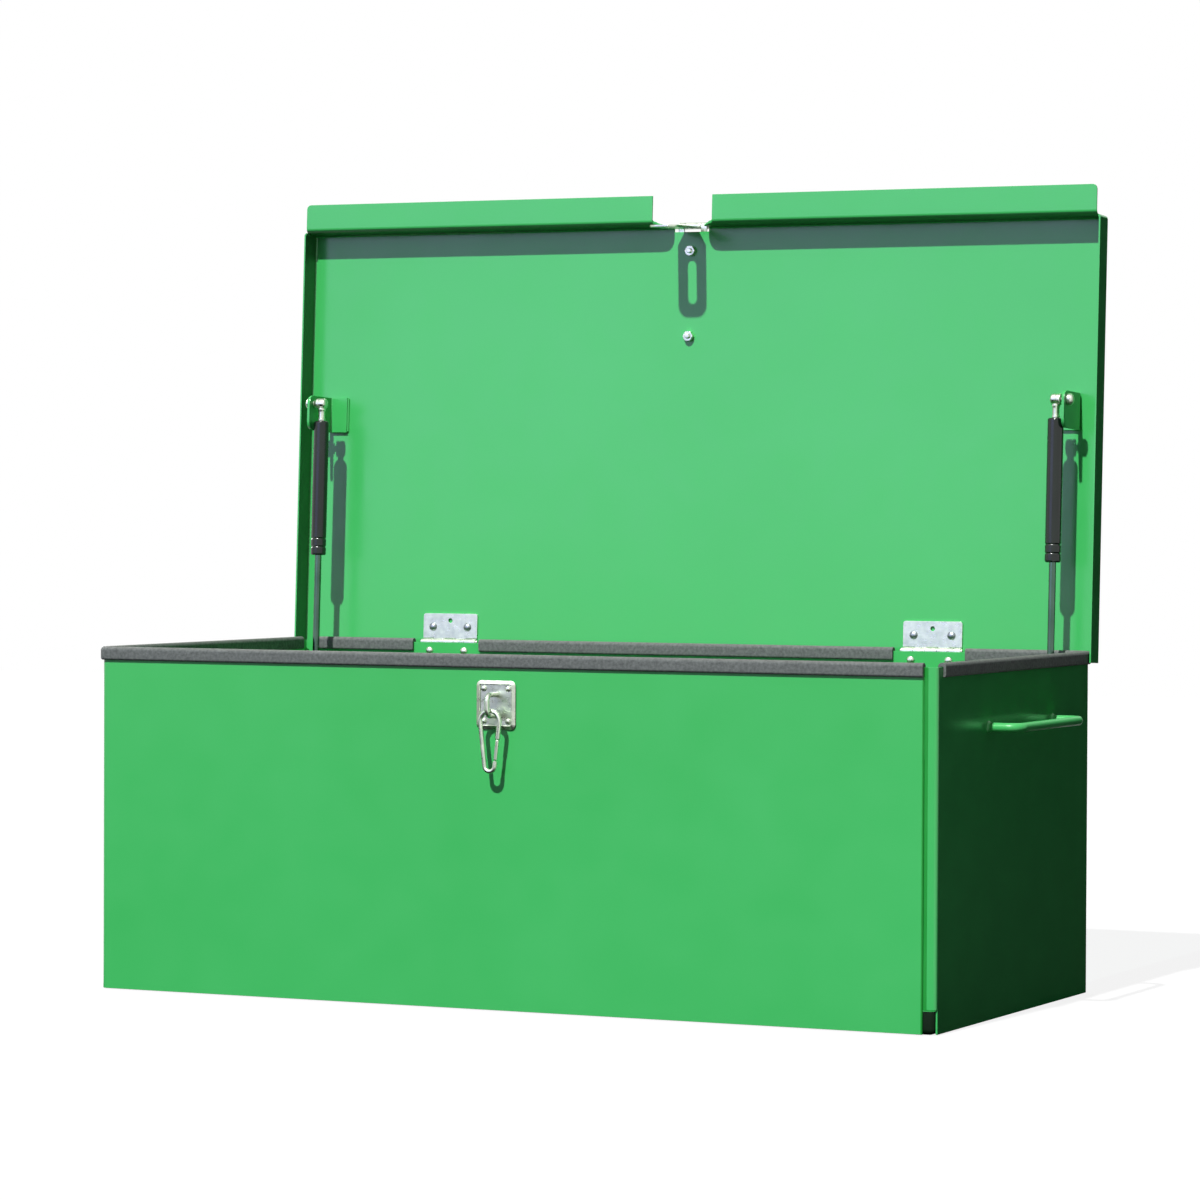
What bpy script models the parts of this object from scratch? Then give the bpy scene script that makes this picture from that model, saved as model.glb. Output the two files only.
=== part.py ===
"""Tractor tool box: a folded sheet steel chest with its lid propped open on two gas struts.

The frame has its origin under the middle of the floor, +X along the width, +Y to the hinge side and +Z up.
Everything on the lid is modelled as if the lid were shut, in the frame of an empty on the hinge axis,
and that empty is turned to the open angle.
"""

import math

import bmesh
import bpy
from mathutils import Matrix, Vector

# Driving dimensions, in metres and degrees
BODY_WIDTH = 1.000
BODY_DEPTH = 0.472
BODY_HEIGHT = 0.3785
SHEET = 0.002
BEND = 0.008
GAP = 0.0003
WALL_LIFT = 0.0005
LAP_EDGE = 0.0145
LAP_BEND = 0.004
LAP_WIDTH = 0.025
LAP_RELIEF = 0.026
LAP_CLEAR = 0.0105
PAN_FLANGE = 0.0245
PAN_BEND = 0.006

SEAL_WALL = 0.0033
SEAL_TOP = 0.0045
SEAL_LEG = 0.0105
SEAL_SHOULDER = 0.003
SEAL_CORNER_STOP = 0.016
SEAL_HINGE_GAP = 0.088

HINGE_INSET = 0.1915
HINGE_WIDTH = 0.072
HINGE_KNUCKLES = 5
KNUCKLE_RADIUS = 0.004
PIN_RADIUS = 0.002
PIN_HEAD = 0.0025
LEAF = 0.002
LID_LEAF_REACH = 0.034
BOX_LEAF_REACH = 0.030
LEAF_CORNER = 0.003
LID_RIVET_REACH = 0.018
LID_HOLE_REACH = 0.0255
LID_RIVET_SPREAD = 0.046
BOX_RIVET_REACH = 0.0105
BOX_RIVET_SPREAD = 0.046
HINGE_RISE = 0.0005

LID_OPEN = 92.6
LID_SIDE_CLEAR = 0.0055
LID_OVERHANG = 0.0157
LID_BACK = 0.010
LID_FLANGE = 0.029
LID_LIP = 0.033
LID_BEND = 0.004
LIP_BEND = 0.005
LIP_CORNER = 0.005
NOTCH_THROAT = 0.044
NOTCH_MOUTH = 0.076
NOTCH_SETBACK = 0.007

HASP_X = -0.005
HASP_WIDTH = 0.036
HASP_LEAF = 0.0025
HASP_LEAF_LENGTH = 0.145
HASP_KNUCKLE = 0.0205
HASP_PIN_RADIUS = 0.002
HASP_PROUD = 0.0005
HASP_DROOP = 4.0
HASP_LEAF_START = 0.010
HASP_BOLT_FRONT = 0.0300
HASP_BOLT_PITCH = 0.1000
STRAP_LENGTH = 0.094
STRAP_NECK = 0.020
STRAP_NECK_END = 0.012
STRAP_SHOULDER = 0.024
STRAP_END_RADIUS = 0.012
SLOT_WIDTH = 0.011
SLOT_START = 0.038
SLOT_END = 0.082

STAPLE_WIDTH = 0.041
STAPLE_HEIGHT = 0.047
STAPLE_PLATE = 0.002
STAPLE_DROP = 0.0497
STAPLE_WIRE = 0.0055
STAPLE_LEG_PITCH = 0.0225
STAPLE_REACH = 0.026
STAPLE_BEND = 0.007
STAPLE_RIVET_INSET = 0.006

CLIP_WIRE = 0.005
CLIP_LENGTH = 0.070
CLIP_TOP_RADIUS = 0.0115
CLIP_FOOT_RADIUS = 0.0060
CLIP_STANDOFF = 0.0165
CLIP_GATE_WIRE = 0.004
CLIP_GATE_START = 0.0175
CLIP_GATE_LENGTH = 0.0235

HANDLE_BAR = 0.010
HANDLE_SPAN = 0.198
HANDLE_REACH = 0.034
HANDLE_SHIFT = 0.014
HANDLE_BEND = 0.014
HANDLE_DROP = 0.0675

STRUT_INSET = 0.0333
STRUT_REACH = 0.283
STRUT_STANDOFF = 0.046
STRUT_OPEN_LENGTH = 0.338
STRUT_BARREL_RADIUS = 0.009
STRUT_BARREL_LENGTH = 0.161
STRUT_BARREL_START = 0.021
STRUT_BORE_RADIUS = 0.0046
STRUT_BORE_DEPTH = 0.136
STRUT_ROD_RADIUS = 0.004
STRUT_ROD_GRIP = 0.014
STRUT_CHAMFER = 0.0012
STRUT_RING = 0.010
STRUT_GROOVE = 0.0008
SOCKET_RADIUS = 0.0065
SOCKET_STEM_RADIUS = 0.0045
SOCKET_STEM = 0.020
BALL_RADIUS = 0.0042
BALL_CLEAR = 0.0006
STUD_NECK_RADIUS = 0.0026
STUD_SHANK_RADIUS = 0.003
STUD_HEAD_RADIUS = 0.0055
STUD_HEAD = 0.0042

BRACKET_PLATE = 0.0035
BRACKET_INSET = 0.0230
BRACKET_FOOT = 0.0215
BRACKET_WIDTH = 0.042
BRACKET_PAST_PIVOT = 0.010
BRACKET_REACH = 0.012
BRACKET_CORNER = 0.010
BRACKET_BEND = 0.005

RIVET_HEAD_RADIUS = 0.0048
RIVET_HEAD = 0.0028
RIVET_SHANK_RADIUS = 0.0024
RIVET_TAIL_RADIUS = 0.0038
RIVET_TAIL = 0.0022
SMALL_RIVET = 0.62
BOLT_SHANK_RADIUS = 0.003
BOLT_HEAD_RADIUS = 0.0070
BOLT_HEAD = 0.0035
BOLT_TIP = 0.003
NUT_RADIUS = 0.0064
NUT_HEIGHT = 0.005

ROUND_STEPS = 16

# Derived places
HALF_WIDTH = BODY_WIDTH / 2
HALF_DEPTH = BODY_DEPTH / 2
HINGE_X = HALF_WIDTH - HINGE_INSET
HINGE_Y = HALF_DEPTH + GAP + KNUCKLE_RADIUS
HINGE_Z = BODY_HEIGHT + HINGE_RISE
LID_INNER = KNUCKLE_RADIUS + GAP
LID_TOP = LID_INNER + SHEET
LID_HALF_WIDTH = HALF_WIDTH + LID_SIDE_CLEAR + SHEET
LID_FRONT = -(HINGE_Y + HALF_DEPTH + LID_OVERHANG)
HASP_AXIS_Y = LID_FRONT - HASP_PROUD
HASP_AXIS_Z = LID_TOP + GAP + KNUCKLE_RADIUS
STAPLE_Z = BODY_HEIGHT - STAPLE_DROP
STRUT_X = HALF_WIDTH - STRUT_INSET
STRUT_Z = LID_INNER - STRUT_STANDOFF
BRACKET_X = HALF_WIDTH - BRACKET_INSET
HANDLE_Z = BODY_HEIGHT - HANDLE_DROP
LID_TURN = Matrix.Rotation(math.radians(-LID_OPEN), 4, "X")
STRUT_LOW = Vector((0, HINGE_Y, HINGE_Z)) + LID_TURN @ Vector((0, STRUT_OPEN_LENGTH - STRUT_REACH, STRUT_Z))
LAP_HEIGHT = STRUT_LOW.z - (BRACKET_WIDTH - BRACKET_PAST_PIVOT) - LAP_CLEAR

# Turns that lay an outline drawn in x and y on another plane
ON_FRONT = Matrix(((1, 0, 0), (0, 0, -1), (0, 1, 0))).to_4x4()
ACROSS = Matrix(((0, 0, 1), (1, 0, 0), (0, 1, 0))).to_4x4()


def srgb(red, green, blue):
    """Linear colour of an 8-bit display colour."""
    return tuple((value / 255) ** 2.2 for value in (red, green, blue)) + (1.0,)


def make_material(name, colour, roughness, metallic):
    material = bpy.data.materials.new(name)
    material.use_nodes = True
    shader = material.node_tree.nodes["Principled BSDF"]
    shader.inputs["Base Color"].default_value = colour
    shader.inputs["Roughness"].default_value = roughness
    shader.inputs["Metallic"].default_value = metallic
    material.diffuse_color = colour
    return material


for old in list(bpy.data.objects):
    bpy.data.objects.remove(old, do_unlink=True)

PARTS = bpy.data.collections.new("tractor_tool_box")
CUTTERS = bpy.data.collections.new("cutters")
bpy.context.scene.collection.children.link(PARTS)
bpy.context.scene.collection.children.link(CUTTERS)

GREEN = make_material("green_paint", srgb(58, 176, 92), 0.35, 0.0)
RUBBER = make_material("rubber", srgb(52, 52, 54), 0.8, 0.0)
ZINC = make_material("zinc_plate", srgb(205, 210, 212), 0.35, 1.0)
BLACK = make_material("black_paint", srgb(28, 28, 30), 0.4, 0.0)
CHROME = make_material("hard_chrome", srgb(190, 194, 196), 0.15, 1.0)


def empty(name, location, parent=None, turn_x=0.0):
    """A pivot that carries the pieces of one moving body."""
    pivot = bpy.data.objects.new(name, None)
    pivot.location = location
    pivot.rotation_euler.x = math.radians(turn_x)
    pivot.parent = parent
    PARTS.objects.link(pivot)
    return pivot


def piece(name, mesh, material, parent=None, location=(0, 0, 0)):
    """One named sub-part with its material."""
    mesh.name = name
    mesh.materials.clear()
    mesh.materials.append(material)
    mesh.shade_smooth()
    mesh.set_sharp_from_angle(angle=math.radians(35))
    part = bpy.data.objects.new(name, mesh)
    part.location = location
    part.parent = parent
    PARTS.objects.link(part)
    return part


def helper(name, mesh, parent=None, location=(0, 0, 0)):
    """A cutter or a shape to be joined, which is never a part itself."""
    tool = bpy.data.objects.new(name, mesh)
    tool.location = location
    tool.parent = parent
    tool.hide_render = True
    tool.display_type = "WIRE"
    CUTTERS.objects.link(tool)
    return tool


def boolean(part, tool, operation):
    modifier = part.modifiers.new(f"{operation.lower()}_{tool.name}", "BOOLEAN")
    modifier.operation = operation
    modifier.object = tool


def mesh_from_curve(curve):
    """The closed mesh of a curve, with its caps welded on."""
    carrier = bpy.data.objects.new("curve_carrier", curve)
    bpy.context.scene.collection.objects.link(carrier)
    graph = bpy.context.evaluated_depsgraph_get()
    mesh = bpy.data.meshes.new_from_object(carrier.evaluated_get(graph))
    bpy.data.objects.remove(carrier, do_unlink=True)
    shape = bmesh.new()
    shape.from_mesh(mesh)
    bmesh.ops.remove_doubles(shape, verts=shape.verts, dist=1e-6)
    bmesh.ops.recalc_face_normals(shape, faces=shape.faces)
    shape.to_mesh(mesh)
    shape.free()
    return mesh


def outline_curve(loops):
    """A flat curve of closed loops, the inner loops being holes."""
    curve = bpy.data.curves.new("outline", "CURVE")
    curve.dimensions = "2D"
    curve.fill_mode = "BOTH"
    for loop in loops:
        spline = curve.splines.new("POLY")
        spline.points.add(len(loop) - 1)
        for point, (x, y) in zip(spline.points, loop):
            point.co = (x, y, 0, 1)
        spline.use_cyclic_u = True
    return curve


def plate(loops, low, high, turn=Matrix.Identity(4)):
    """An outline with holes, extruded from low to high and laid on its plane."""
    curve = outline_curve(loops)
    curve.extrude = (high - low) / 2
    mesh = mesh_from_curve(curve)
    mesh.transform(turn @ Matrix.Translation((0, 0, (low + high) / 2)))
    return mesh


def wire(points, radius, resolution=2):
    """A round bar along a list of points."""
    curve = bpy.data.curves.new("wire", "CURVE")
    curve.dimensions = "3D"
    curve.bevel_depth = radius
    curve.bevel_resolution = resolution
    curve.use_fill_caps = True
    spline = curve.splines.new("POLY")
    spline.points.add(len(points) - 1)
    for point, place in zip(spline.points, points):
        point.co = (*place, 1)
    return mesh_from_curve(curve)


def moulding(points, section):
    """A section of sideways and upright places, swept along a level path."""
    profile = bpy.data.objects.new("section_carrier", outline_curve([section]))
    profile.data.fill_mode = "NONE"
    bpy.context.scene.collection.objects.link(profile)
    curve = bpy.data.curves.new("moulding", "CURVE")
    curve.dimensions = "3D"
    curve.twist_mode = "Z_UP"
    curve.bevel_mode = "OBJECT"
    curve.bevel_object = profile
    curve.use_fill_caps = True
    spline = curve.splines.new("POLY")
    spline.points.add(len(points) - 1)
    for point, place in zip(spline.points, points):
        point.co = (*place, 1)
    mesh = mesh_from_curve(curve)
    bpy.data.objects.remove(profile, do_unlink=True)
    return mesh


def turned(profile, turn=Matrix.Identity(4), steps=ROUND_STEPS):
    """A solid of revolution about z from a profile of radius and height, top to bottom."""
    shape = bmesh.new()
    points = [shape.verts.new((radius, 0, height)) for radius, height in profile]
    for first, second in zip(points, points[1:]):
        shape.edges.new((first, second))
    bmesh.ops.spin(
        shape,
        geom=shape.verts[:] + shape.edges[:],
        axis=(0, 0, 1),
        cent=(0, 0, 0),
        angle=2 * math.pi,
        steps=steps,
        use_merge=True,
    )
    bmesh.ops.remove_doubles(shape, verts=shape.verts, dist=1e-6)
    bmesh.ops.dissolve_degenerate(shape, edges=shape.edges, dist=1e-7)
    bmesh.ops.recalc_face_normals(shape, faces=shape.faces)
    mesh = bpy.data.meshes.new("turned")
    shape.to_mesh(mesh)
    shape.free()
    mesh.transform(turn)
    return mesh


def cylinder(radius, low, high, turn=Matrix.Identity(4), steps=ROUND_STEPS):
    shape = bmesh.new()
    bmesh.ops.create_cone(
        shape, cap_ends=True, segments=steps, radius1=radius, radius2=radius, depth=high - low
    )
    mesh = bpy.data.meshes.new("cylinder")
    shape.to_mesh(mesh)
    shape.free()
    mesh.transform(turn @ Matrix.Translation((0, 0, (low + high) / 2)))
    return mesh


def block(low, high):
    """A box between two corners."""
    shape = bmesh.new()
    size = Vector(high) - Vector(low)
    centre = (Vector(high) + Vector(low)) / 2
    bmesh.ops.create_cube(shape, size=1, matrix=Matrix.Translation(centre) @ Matrix.Diagonal((*size, 1)))
    mesh = bpy.data.meshes.new("block")
    shape.to_mesh(mesh)
    shape.free()
    return mesh


def arc(centre, radius, start, end, steps):
    """Points from the start angle to the end angle, in degrees."""
    angles = [math.radians(start + (end - start) * step / steps) for step in range(steps + 1)]
    return [(centre[0] + radius * math.cos(a), centre[1] + radius * math.sin(a)) for a in angles]


def rounded_path(corners, radius, steps=5):
    """A path through corners whose inner corners are rounded, by one radius or one for each."""
    radii = radius if isinstance(radius, list) else [radius] * (len(corners) - 2)
    path = [Vector(corners[0])]
    for before, corner, after, radius in zip(corners, corners[1:], corners[2:], radii):
        corner = Vector(corner)
        back = (Vector(before) - corner).normalized()
        ahead = (Vector(after) - corner).normalized()
        half = back.angle(ahead) / 2
        reach = radius / math.tan(half)
        centre = corner + (back + ahead).normalized() * (radius / math.sin(half))
        start = corner + back * reach - centre
        end = corner + ahead * reach - centre
        for step in range(steps + 1):
            path.append(centre + start.slerp(end, step / steps).normalized() * radius)
    path.append(Vector(corners[-1]))
    return path


def offset_path(path, distance):
    """The path moved to its left by a distance, corner by corner."""
    moved = []
    for index, point in enumerate(path):
        ahead = path[min(index + 1, len(path) - 1)] - point
        back = point - path[max(index - 1, 0)]
        if ahead.length == 0:
            ahead = back
        if back.length == 0:
            back = ahead
        left_ahead = Vector((-ahead.y, ahead.x)).normalized()
        left_back = Vector((-back.y, back.x)).normalized()
        middle = (left_ahead + left_back).normalized()
        moved.append(point + middle * (distance / middle.dot(left_ahead)))
    return moved


def sheet_outline(path, thickness):
    """The closed outline of a sheet whose one face follows the path, with its body to the left."""
    return [tuple(p) for p in path] + [tuple(p) for p in reversed(offset_path(path, thickness))]


def rounded_box(left, bottom, right, top, radius, steps=4):
    loop = []
    loop += arc((right - radius, bottom + radius), radius, -90, 0, steps)
    loop += arc((right - radius, top - radius), radius, 0, 90, steps)
    loop += arc((left + radius, top - radius), radius, 90, 180, steps)
    loop += arc((left + radius, bottom + radius), radius, 180, 270, steps)
    return loop


def circle(centre, radius, steps=ROUND_STEPS):
    return arc(centre, radius, 0, 360, steps)[:-1]


# Pivots of the moving bodies
lid_pivot = empty("lid_pivot", (0, HINGE_Y, HINGE_Z), turn_x=-LID_OPEN)
hasp_pivot = empty("hasp_pivot", (HASP_X, HASP_AXIS_Y, HASP_AXIS_Z), lid_pivot, HASP_DROOP)


def build_walls():
    """Two equal sheets, each folded round two corners, lapping each other at the other two ends."""
    inset = SHEET + GAP
    corners = [
        (HALF_WIDTH - LAP_EDGE, -HALF_DEPTH),
        (-HALF_WIDTH, -HALF_DEPTH),
        (-HALF_WIDTH, HALF_DEPTH - inset),
        (-HALF_WIDTH + LAP_EDGE + LAP_WIDTH, HALF_DEPTH - inset),
    ]
    path = list(reversed(rounded_path(corners, [BEND, LAP_BEND])))
    outline = sheet_outline(path, SHEET)
    lap_left = -HALF_WIDTH + LAP_EDGE
    lap_right = lap_left + LAP_WIDTH + 0.01
    lap_back = HALF_DEPTH - inset + 0.001
    lap_front = HALF_DEPTH - inset - LAP_BEND
    walls = []
    for name, half_turn in (("front_left_sheet", 0), ("back_right_sheet", math.pi)):
        turn = Matrix.Rotation(half_turn, 4, "Z")
        wall = piece(name, plate([outline], WALL_LIFT, BODY_HEIGHT, turn), GREEN)
        top = block((lap_left - 0.002, lap_front, LAP_HEIGHT), (lap_right, lap_back, BODY_HEIGHT + 0.01))
        foot = block((-HALF_WIDTH - 0.01, lap_front, -0.01), (lap_right, lap_back, LAP_RELIEF))
        for label, cutter in (("lap_top", top), ("lap_relief", foot)):
            cutter.transform(turn)
            boolean(wall, helper(f"{name}_{label}", cutter), "DIFFERENCE")
        walls.append(wall)
    return walls


def build_floor():
    """A tray that stands inside the walls on its turned-up flanges."""
    half_x = HALF_WIDTH - SHEET - GAP
    half_y = HALF_DEPTH - SHEET - GAP
    mesh = block((-half_x, -half_y, 0), (half_x, half_y, PAN_FLANGE))
    shape = bmesh.new()
    shape.from_mesh(mesh)
    top = [face for face in shape.faces if face.normal.z > 0.5]
    bmesh.ops.delete(shape, geom=top, context="FACES_ONLY")
    folds = [edge for edge in shape.edges if len(edge.link_faces) == 2]
    bmesh.ops.bevel(shape, geom=folds, offset=PAN_BEND, segments=3, profile=0.5, affect="EDGES")
    shape.to_mesh(mesh)
    shape.free()
    pan = piece("floor_pan", mesh, GREEN)
    wall = pan.modifiers.new("sheet", "SOLIDIFY")
    wall.thickness = SHEET
    wall.offset = -1
    return pan


def build_seals():
    """Rubber channel pressed over the rim, cut away at the two lapped corners and at the hinges."""
    half_slot = SHEET / 2 + GAP
    half = half_slot + SEAL_WALL
    section = [(-half, -SEAL_LEG)]
    section += arc((-half + SEAL_SHOULDER, SEAL_TOP - SEAL_SHOULDER), SEAL_SHOULDER, 180, 90, 3)
    section += arc((half - SEAL_SHOULDER, SEAL_TOP - SEAL_SHOULDER), SEAL_SHOULDER, 90, 0, 3)
    section += [(half, -SEAL_LEG), (half_slot, -SEAL_LEG), (half_slot, GAP)]
    section += [(-half_slot, GAP), (-half_slot, -SEAL_LEG)]
    side = HALF_WIDTH - SHEET / 2
    face = HALF_DEPTH - SHEET / 2
    stop = HALF_DEPTH - SEAL_CORNER_STOP
    lap_stop = HALF_WIDTH - LAP_EDGE - GAP
    inner_hinge = HINGE_X - SEAL_HINGE_GAP / 2
    outer_hinge = HINGE_X + SEAL_HINGE_GAP / 2
    bend = BEND - SHEET / 2
    runs = {
        "seal_front_left": rounded_path([(lap_stop, -face), (-side, -face), (-side, stop)], bend),
        "seal_back_left": [(-lap_stop, face), (-outer_hinge, face)],
        "seal_back_middle": [(-inner_hinge, face), (inner_hinge, face)],
        "seal_back_right": rounded_path([(outer_hinge, face), (side, face), (side, -stop)], bend),
    }
    for name, run in runs.items():
        points = [(point[0], point[1], BODY_HEIGHT) for point in run]
        piece(name, moulding(points, section), RUBBER)


def build_lid():
    """One sheet with three flanges turned down and a lip turned out along the front."""
    low = LID_TOP - LID_FLANGE
    shape = bmesh.new()
    left_right = (-LID_HALF_WIDTH, LID_HALF_WIDTH)
    back = [shape.verts.new((x, LID_BACK, LID_TOP)) for x in left_right]
    front = [shape.verts.new((x, LID_FRONT, LID_TOP)) for x in left_right]
    shape.faces.new((front[0], front[1], back[1], back[0]))
    folds = [edge for edge in shape.edges if back[0] not in edge.verts or back[1] not in edge.verts]
    skirt = bmesh.ops.extrude_edge_only(shape, edges=folds)["geom"]
    hem = [item for item in skirt if isinstance(item, bmesh.types.BMVert)]
    for point in hem:
        point.co.z = low
    bmesh.ops.recalc_face_normals(shape, faces=shape.faces)
    inner = [edge for edge in shape.edges if len(edge.link_faces) == 2]
    bmesh.ops.bevel(shape, geom=inner, offset=LID_BEND, segments=3, profile=0.5, affect="EDGES")
    front_hem = [
        edge
        for edge in shape.edges
        if all(abs(v.co.y - LID_FRONT) < 1e-6 and abs(v.co.z - low) < 1e-6 for v in edge.verts)
    ]
    hem_ends = list(front_hem[0].verts)
    for point in hem_ends:
        point.co.z = low + LIP_BEND
    turned_out = bmesh.ops.spin(
        shape,
        geom=front_hem + hem_ends,
        axis=(1, 0, 0),
        cent=(0, LID_FRONT - LIP_BEND, low + LIP_BEND),
        angle=-math.pi / 2,
        steps=4,
    )["geom_last"]
    lip_root = [item for item in turned_out if isinstance(item, bmesh.types.BMEdge)]
    lip = bmesh.ops.extrude_edge_only(shape, edges=lip_root)["geom"]
    for point in lip:
        if isinstance(point, bmesh.types.BMVert):
            point.co.y = LID_FRONT - LID_LIP
    bmesh.ops.recalc_face_normals(shape, faces=shape.faces)
    tips = [v for v in shape.verts if abs(v.co.y - LID_FRONT + LID_LIP) < 1e-6]
    bmesh.ops.bevel(shape, geom=tips, offset=LIP_CORNER, segments=3, profile=0.5, affect="VERTICES")
    top = max(shape.faces, key=lambda face: face.calc_area())
    if top.normal.z < 0:
        bmesh.ops.reverse_faces(shape, faces=shape.faces)
    mesh = bpy.data.meshes.new("lid")
    shape.to_mesh(mesh)
    shape.free()
    lid = piece("lid", mesh, GREEN, lid_pivot)
    wall = lid.modifiers.new("sheet", "SOLIDIFY")
    wall.thickness = SHEET
    wall.offset = -1
    wall.use_even_offset = True

    mouth = NOTCH_MOUTH / 2
    throat = NOTCH_THROAT / 2
    corner = mouth - throat
    right_side = arc((mouth, low + corner), corner, 270, 180, 5)
    left_side = [(-x, z) for x, z in reversed(right_side)]
    above = LID_TOP + 0.02
    below = low - 0.02
    outline = [(mouth, below)] + right_side + [(throat, above), (-throat, above)] + left_side + [(-mouth, below)]
    notch = plate([outline], -LID_FRONT - NOTCH_SETBACK, -LID_FRONT + LID_LIP + 0.02, ON_FRONT)
    boolean(lid, helper("hasp_notch", notch, lid_pivot, (HASP_X, 0, 0)), "DIFFERENCE")
    return lid


def knuckle_outline(thickness, reach):
    """A leaf rolled round its pin: the leaf hangs down at the -y side and the roll ends under the pin."""
    skin = 0.00005
    outer = KNUCKLE_RADIUS
    inner = PIN_RADIUS + GAP
    roll_end = -112
    loop = [(-outer + skin, -reach)]
    loop += arc((0, 0), outer, 180, roll_end, 18)
    loop += arc((0, 0), inner, roll_end, 180, 18)
    loop += [(-outer + thickness - skin, -reach)]
    return loop


def hinge_leaf(name, outline, holes, thickness, spans, material, parent, turn, location):
    """A flat leaf with rolled knuckles over the given spans of its width."""
    flat = plate([outline] + holes, KNUCKLE_RADIUS - thickness, KNUCKLE_RADIUS, ON_FRONT)
    flat.transform(turn)
    leaf = piece(name, flat, material, parent, location)
    for number, (start, end) in enumerate(spans):
        roll = plate([knuckle_outline(thickness, 1.8 * KNUCKLE_RADIUS)], start, end, ACROSS)
        roll.transform(turn)
        boolean(leaf, helper(f"{name}_roll_{number}", roll, parent, location), "UNION")
    return leaf


def knuckle_spans(first, step):
    pitch = HINGE_WIDTH / HINGE_KNUCKLES
    starts = [-HINGE_WIDTH / 2 + pitch * number for number in range(first, HINGE_KNUCKLES, step)]
    return [(start + GAP / 2, start + pitch - GAP / 2) for start in starts]


def rivet(name, parent, matrix, grip, scale=1.0):
    """A dome headed rivet along local z, its head above the joint and its tail below."""
    head = RIVET_HEAD_RADIUS * scale
    shank = RIVET_SHANK_RADIUS * scale
    tail = RIVET_TAIL_RADIUS * scale
    profile = [(0, RIVET_HEAD * scale)]
    for angle in (60, 30):
        radians = math.radians(angle)
        profile.append((head * math.cos(radians), RIVET_HEAD * scale * math.sin(radians)))
    profile += [(head, 0), (shank, 0), (shank, -grip), (tail, -grip)]
    profile += [(tail, -grip - RIVET_TAIL * 0.6 * scale), (tail * 0.6, -grip - RIVET_TAIL * scale)]
    profile += [(0, -grip - RIVET_TAIL * scale)]
    return piece(name, turned(profile, matrix, 12), ZINC, parent)


def hole(part, name, radius, parent, matrix, reach):
    boolean(part, helper(name, cylinder(radius, -reach, reach, matrix, 12), parent), "DIFFERENCE")


def build_hinges(lid, back_sheet):
    """Two butt hinges, outside the back wall and inside the lid, with three holes in each lid leaf."""
    clear = RIVET_SHANK_RADIUS + GAP
    start = KNUCKLE_RADIUS + 2 * GAP
    half = HINGE_WIDTH / 2
    to_lid = Matrix.Rotation(math.radians(-90), 4, "X")
    for side, x in (("left", -HINGE_X), ("right", HINGE_X)):
        box_outline = rounded_box(-half, -BOX_LEAF_REACH, half, -start, LEAF_CORNER, 3)
        lid_outline = rounded_box(-half, -LID_LEAF_REACH, half, -start, LEAF_CORNER, 3)
        box_places = [(step * BOX_RIVET_SPREAD / 2, -BOX_RIVET_REACH) for step in (-1, 1)]
        lid_places = [(step * LID_RIVET_SPREAD / 2, -LID_RIVET_REACH) for step in (-1, 1)]
        box_holes = [circle(place, clear) for place in box_places]
        lid_holes = [circle(place, clear) for place in lid_places + [(0, -LID_HOLE_REACH)]]
        flat = Matrix.Identity(4)
        at = (x, HINGE_Y, HINGE_Z)
        hinge_leaf(
            f"hinge_{side}_box_leaf", box_outline, box_holes, LEAF, knuckle_spans(0, 2), ZINC, None, flat, at
        )
        hinge_leaf(
            f"hinge_{side}_lid_leaf",
            lid_outline,
            lid_holes,
            LEAF,
            knuckle_spans(1, 2),
            ZINC,
            lid_pivot,
            to_lid,
            (x, 0, 0),
        )
        along = Matrix.Rotation(math.radians(90), 4, "Y")
        pin_half = half + PIN_HEAD
        rod = [(0, pin_half), (PIN_RADIUS * 1.4, pin_half), (PIN_RADIUS * 1.4, half + GAP), (PIN_RADIUS, half + GAP)]
        rod += [(PIN_RADIUS, -half - GAP), (PIN_RADIUS * 1.4, -half - GAP), (PIN_RADIUS * 1.4, -pin_half)]
        rod += [(0, -pin_half)]
        piece(f"hinge_{side}_pin", turned(rod, along), ZINC, None, at)

        for number, (offset, drop) in enumerate(box_places, 1):
            head_face = HALF_DEPTH - SHEET - GAP
            grip = SHEET + LEAF + 3 * GAP
            inward = Matrix.Translation((x + offset, head_face, HINGE_Z + drop)) @ ON_FRONT
            rivet(f"hinge_{side}_box_rivet_{number}", None, inward, grip)
            hole(back_sheet, f"back_hole_{side}_{number}", clear, None, inward, 0.01)
        for number, (offset, drop) in enumerate(lid_places, 1):
            head_face = LID_INNER - LEAF - 2 * GAP
            grip = LEAF + SHEET + 3 * GAP
            down = Matrix.Rotation(math.pi, 4, "X")
            inward = Matrix.Translation((x + offset, drop, head_face)) @ down
            rivet(f"hinge_{side}_lid_rivet_{number}", lid_pivot, inward, grip)
            hole(lid, f"lid_hole_{side}_{number}", clear, lid_pivot, inward, 0.01)


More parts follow.
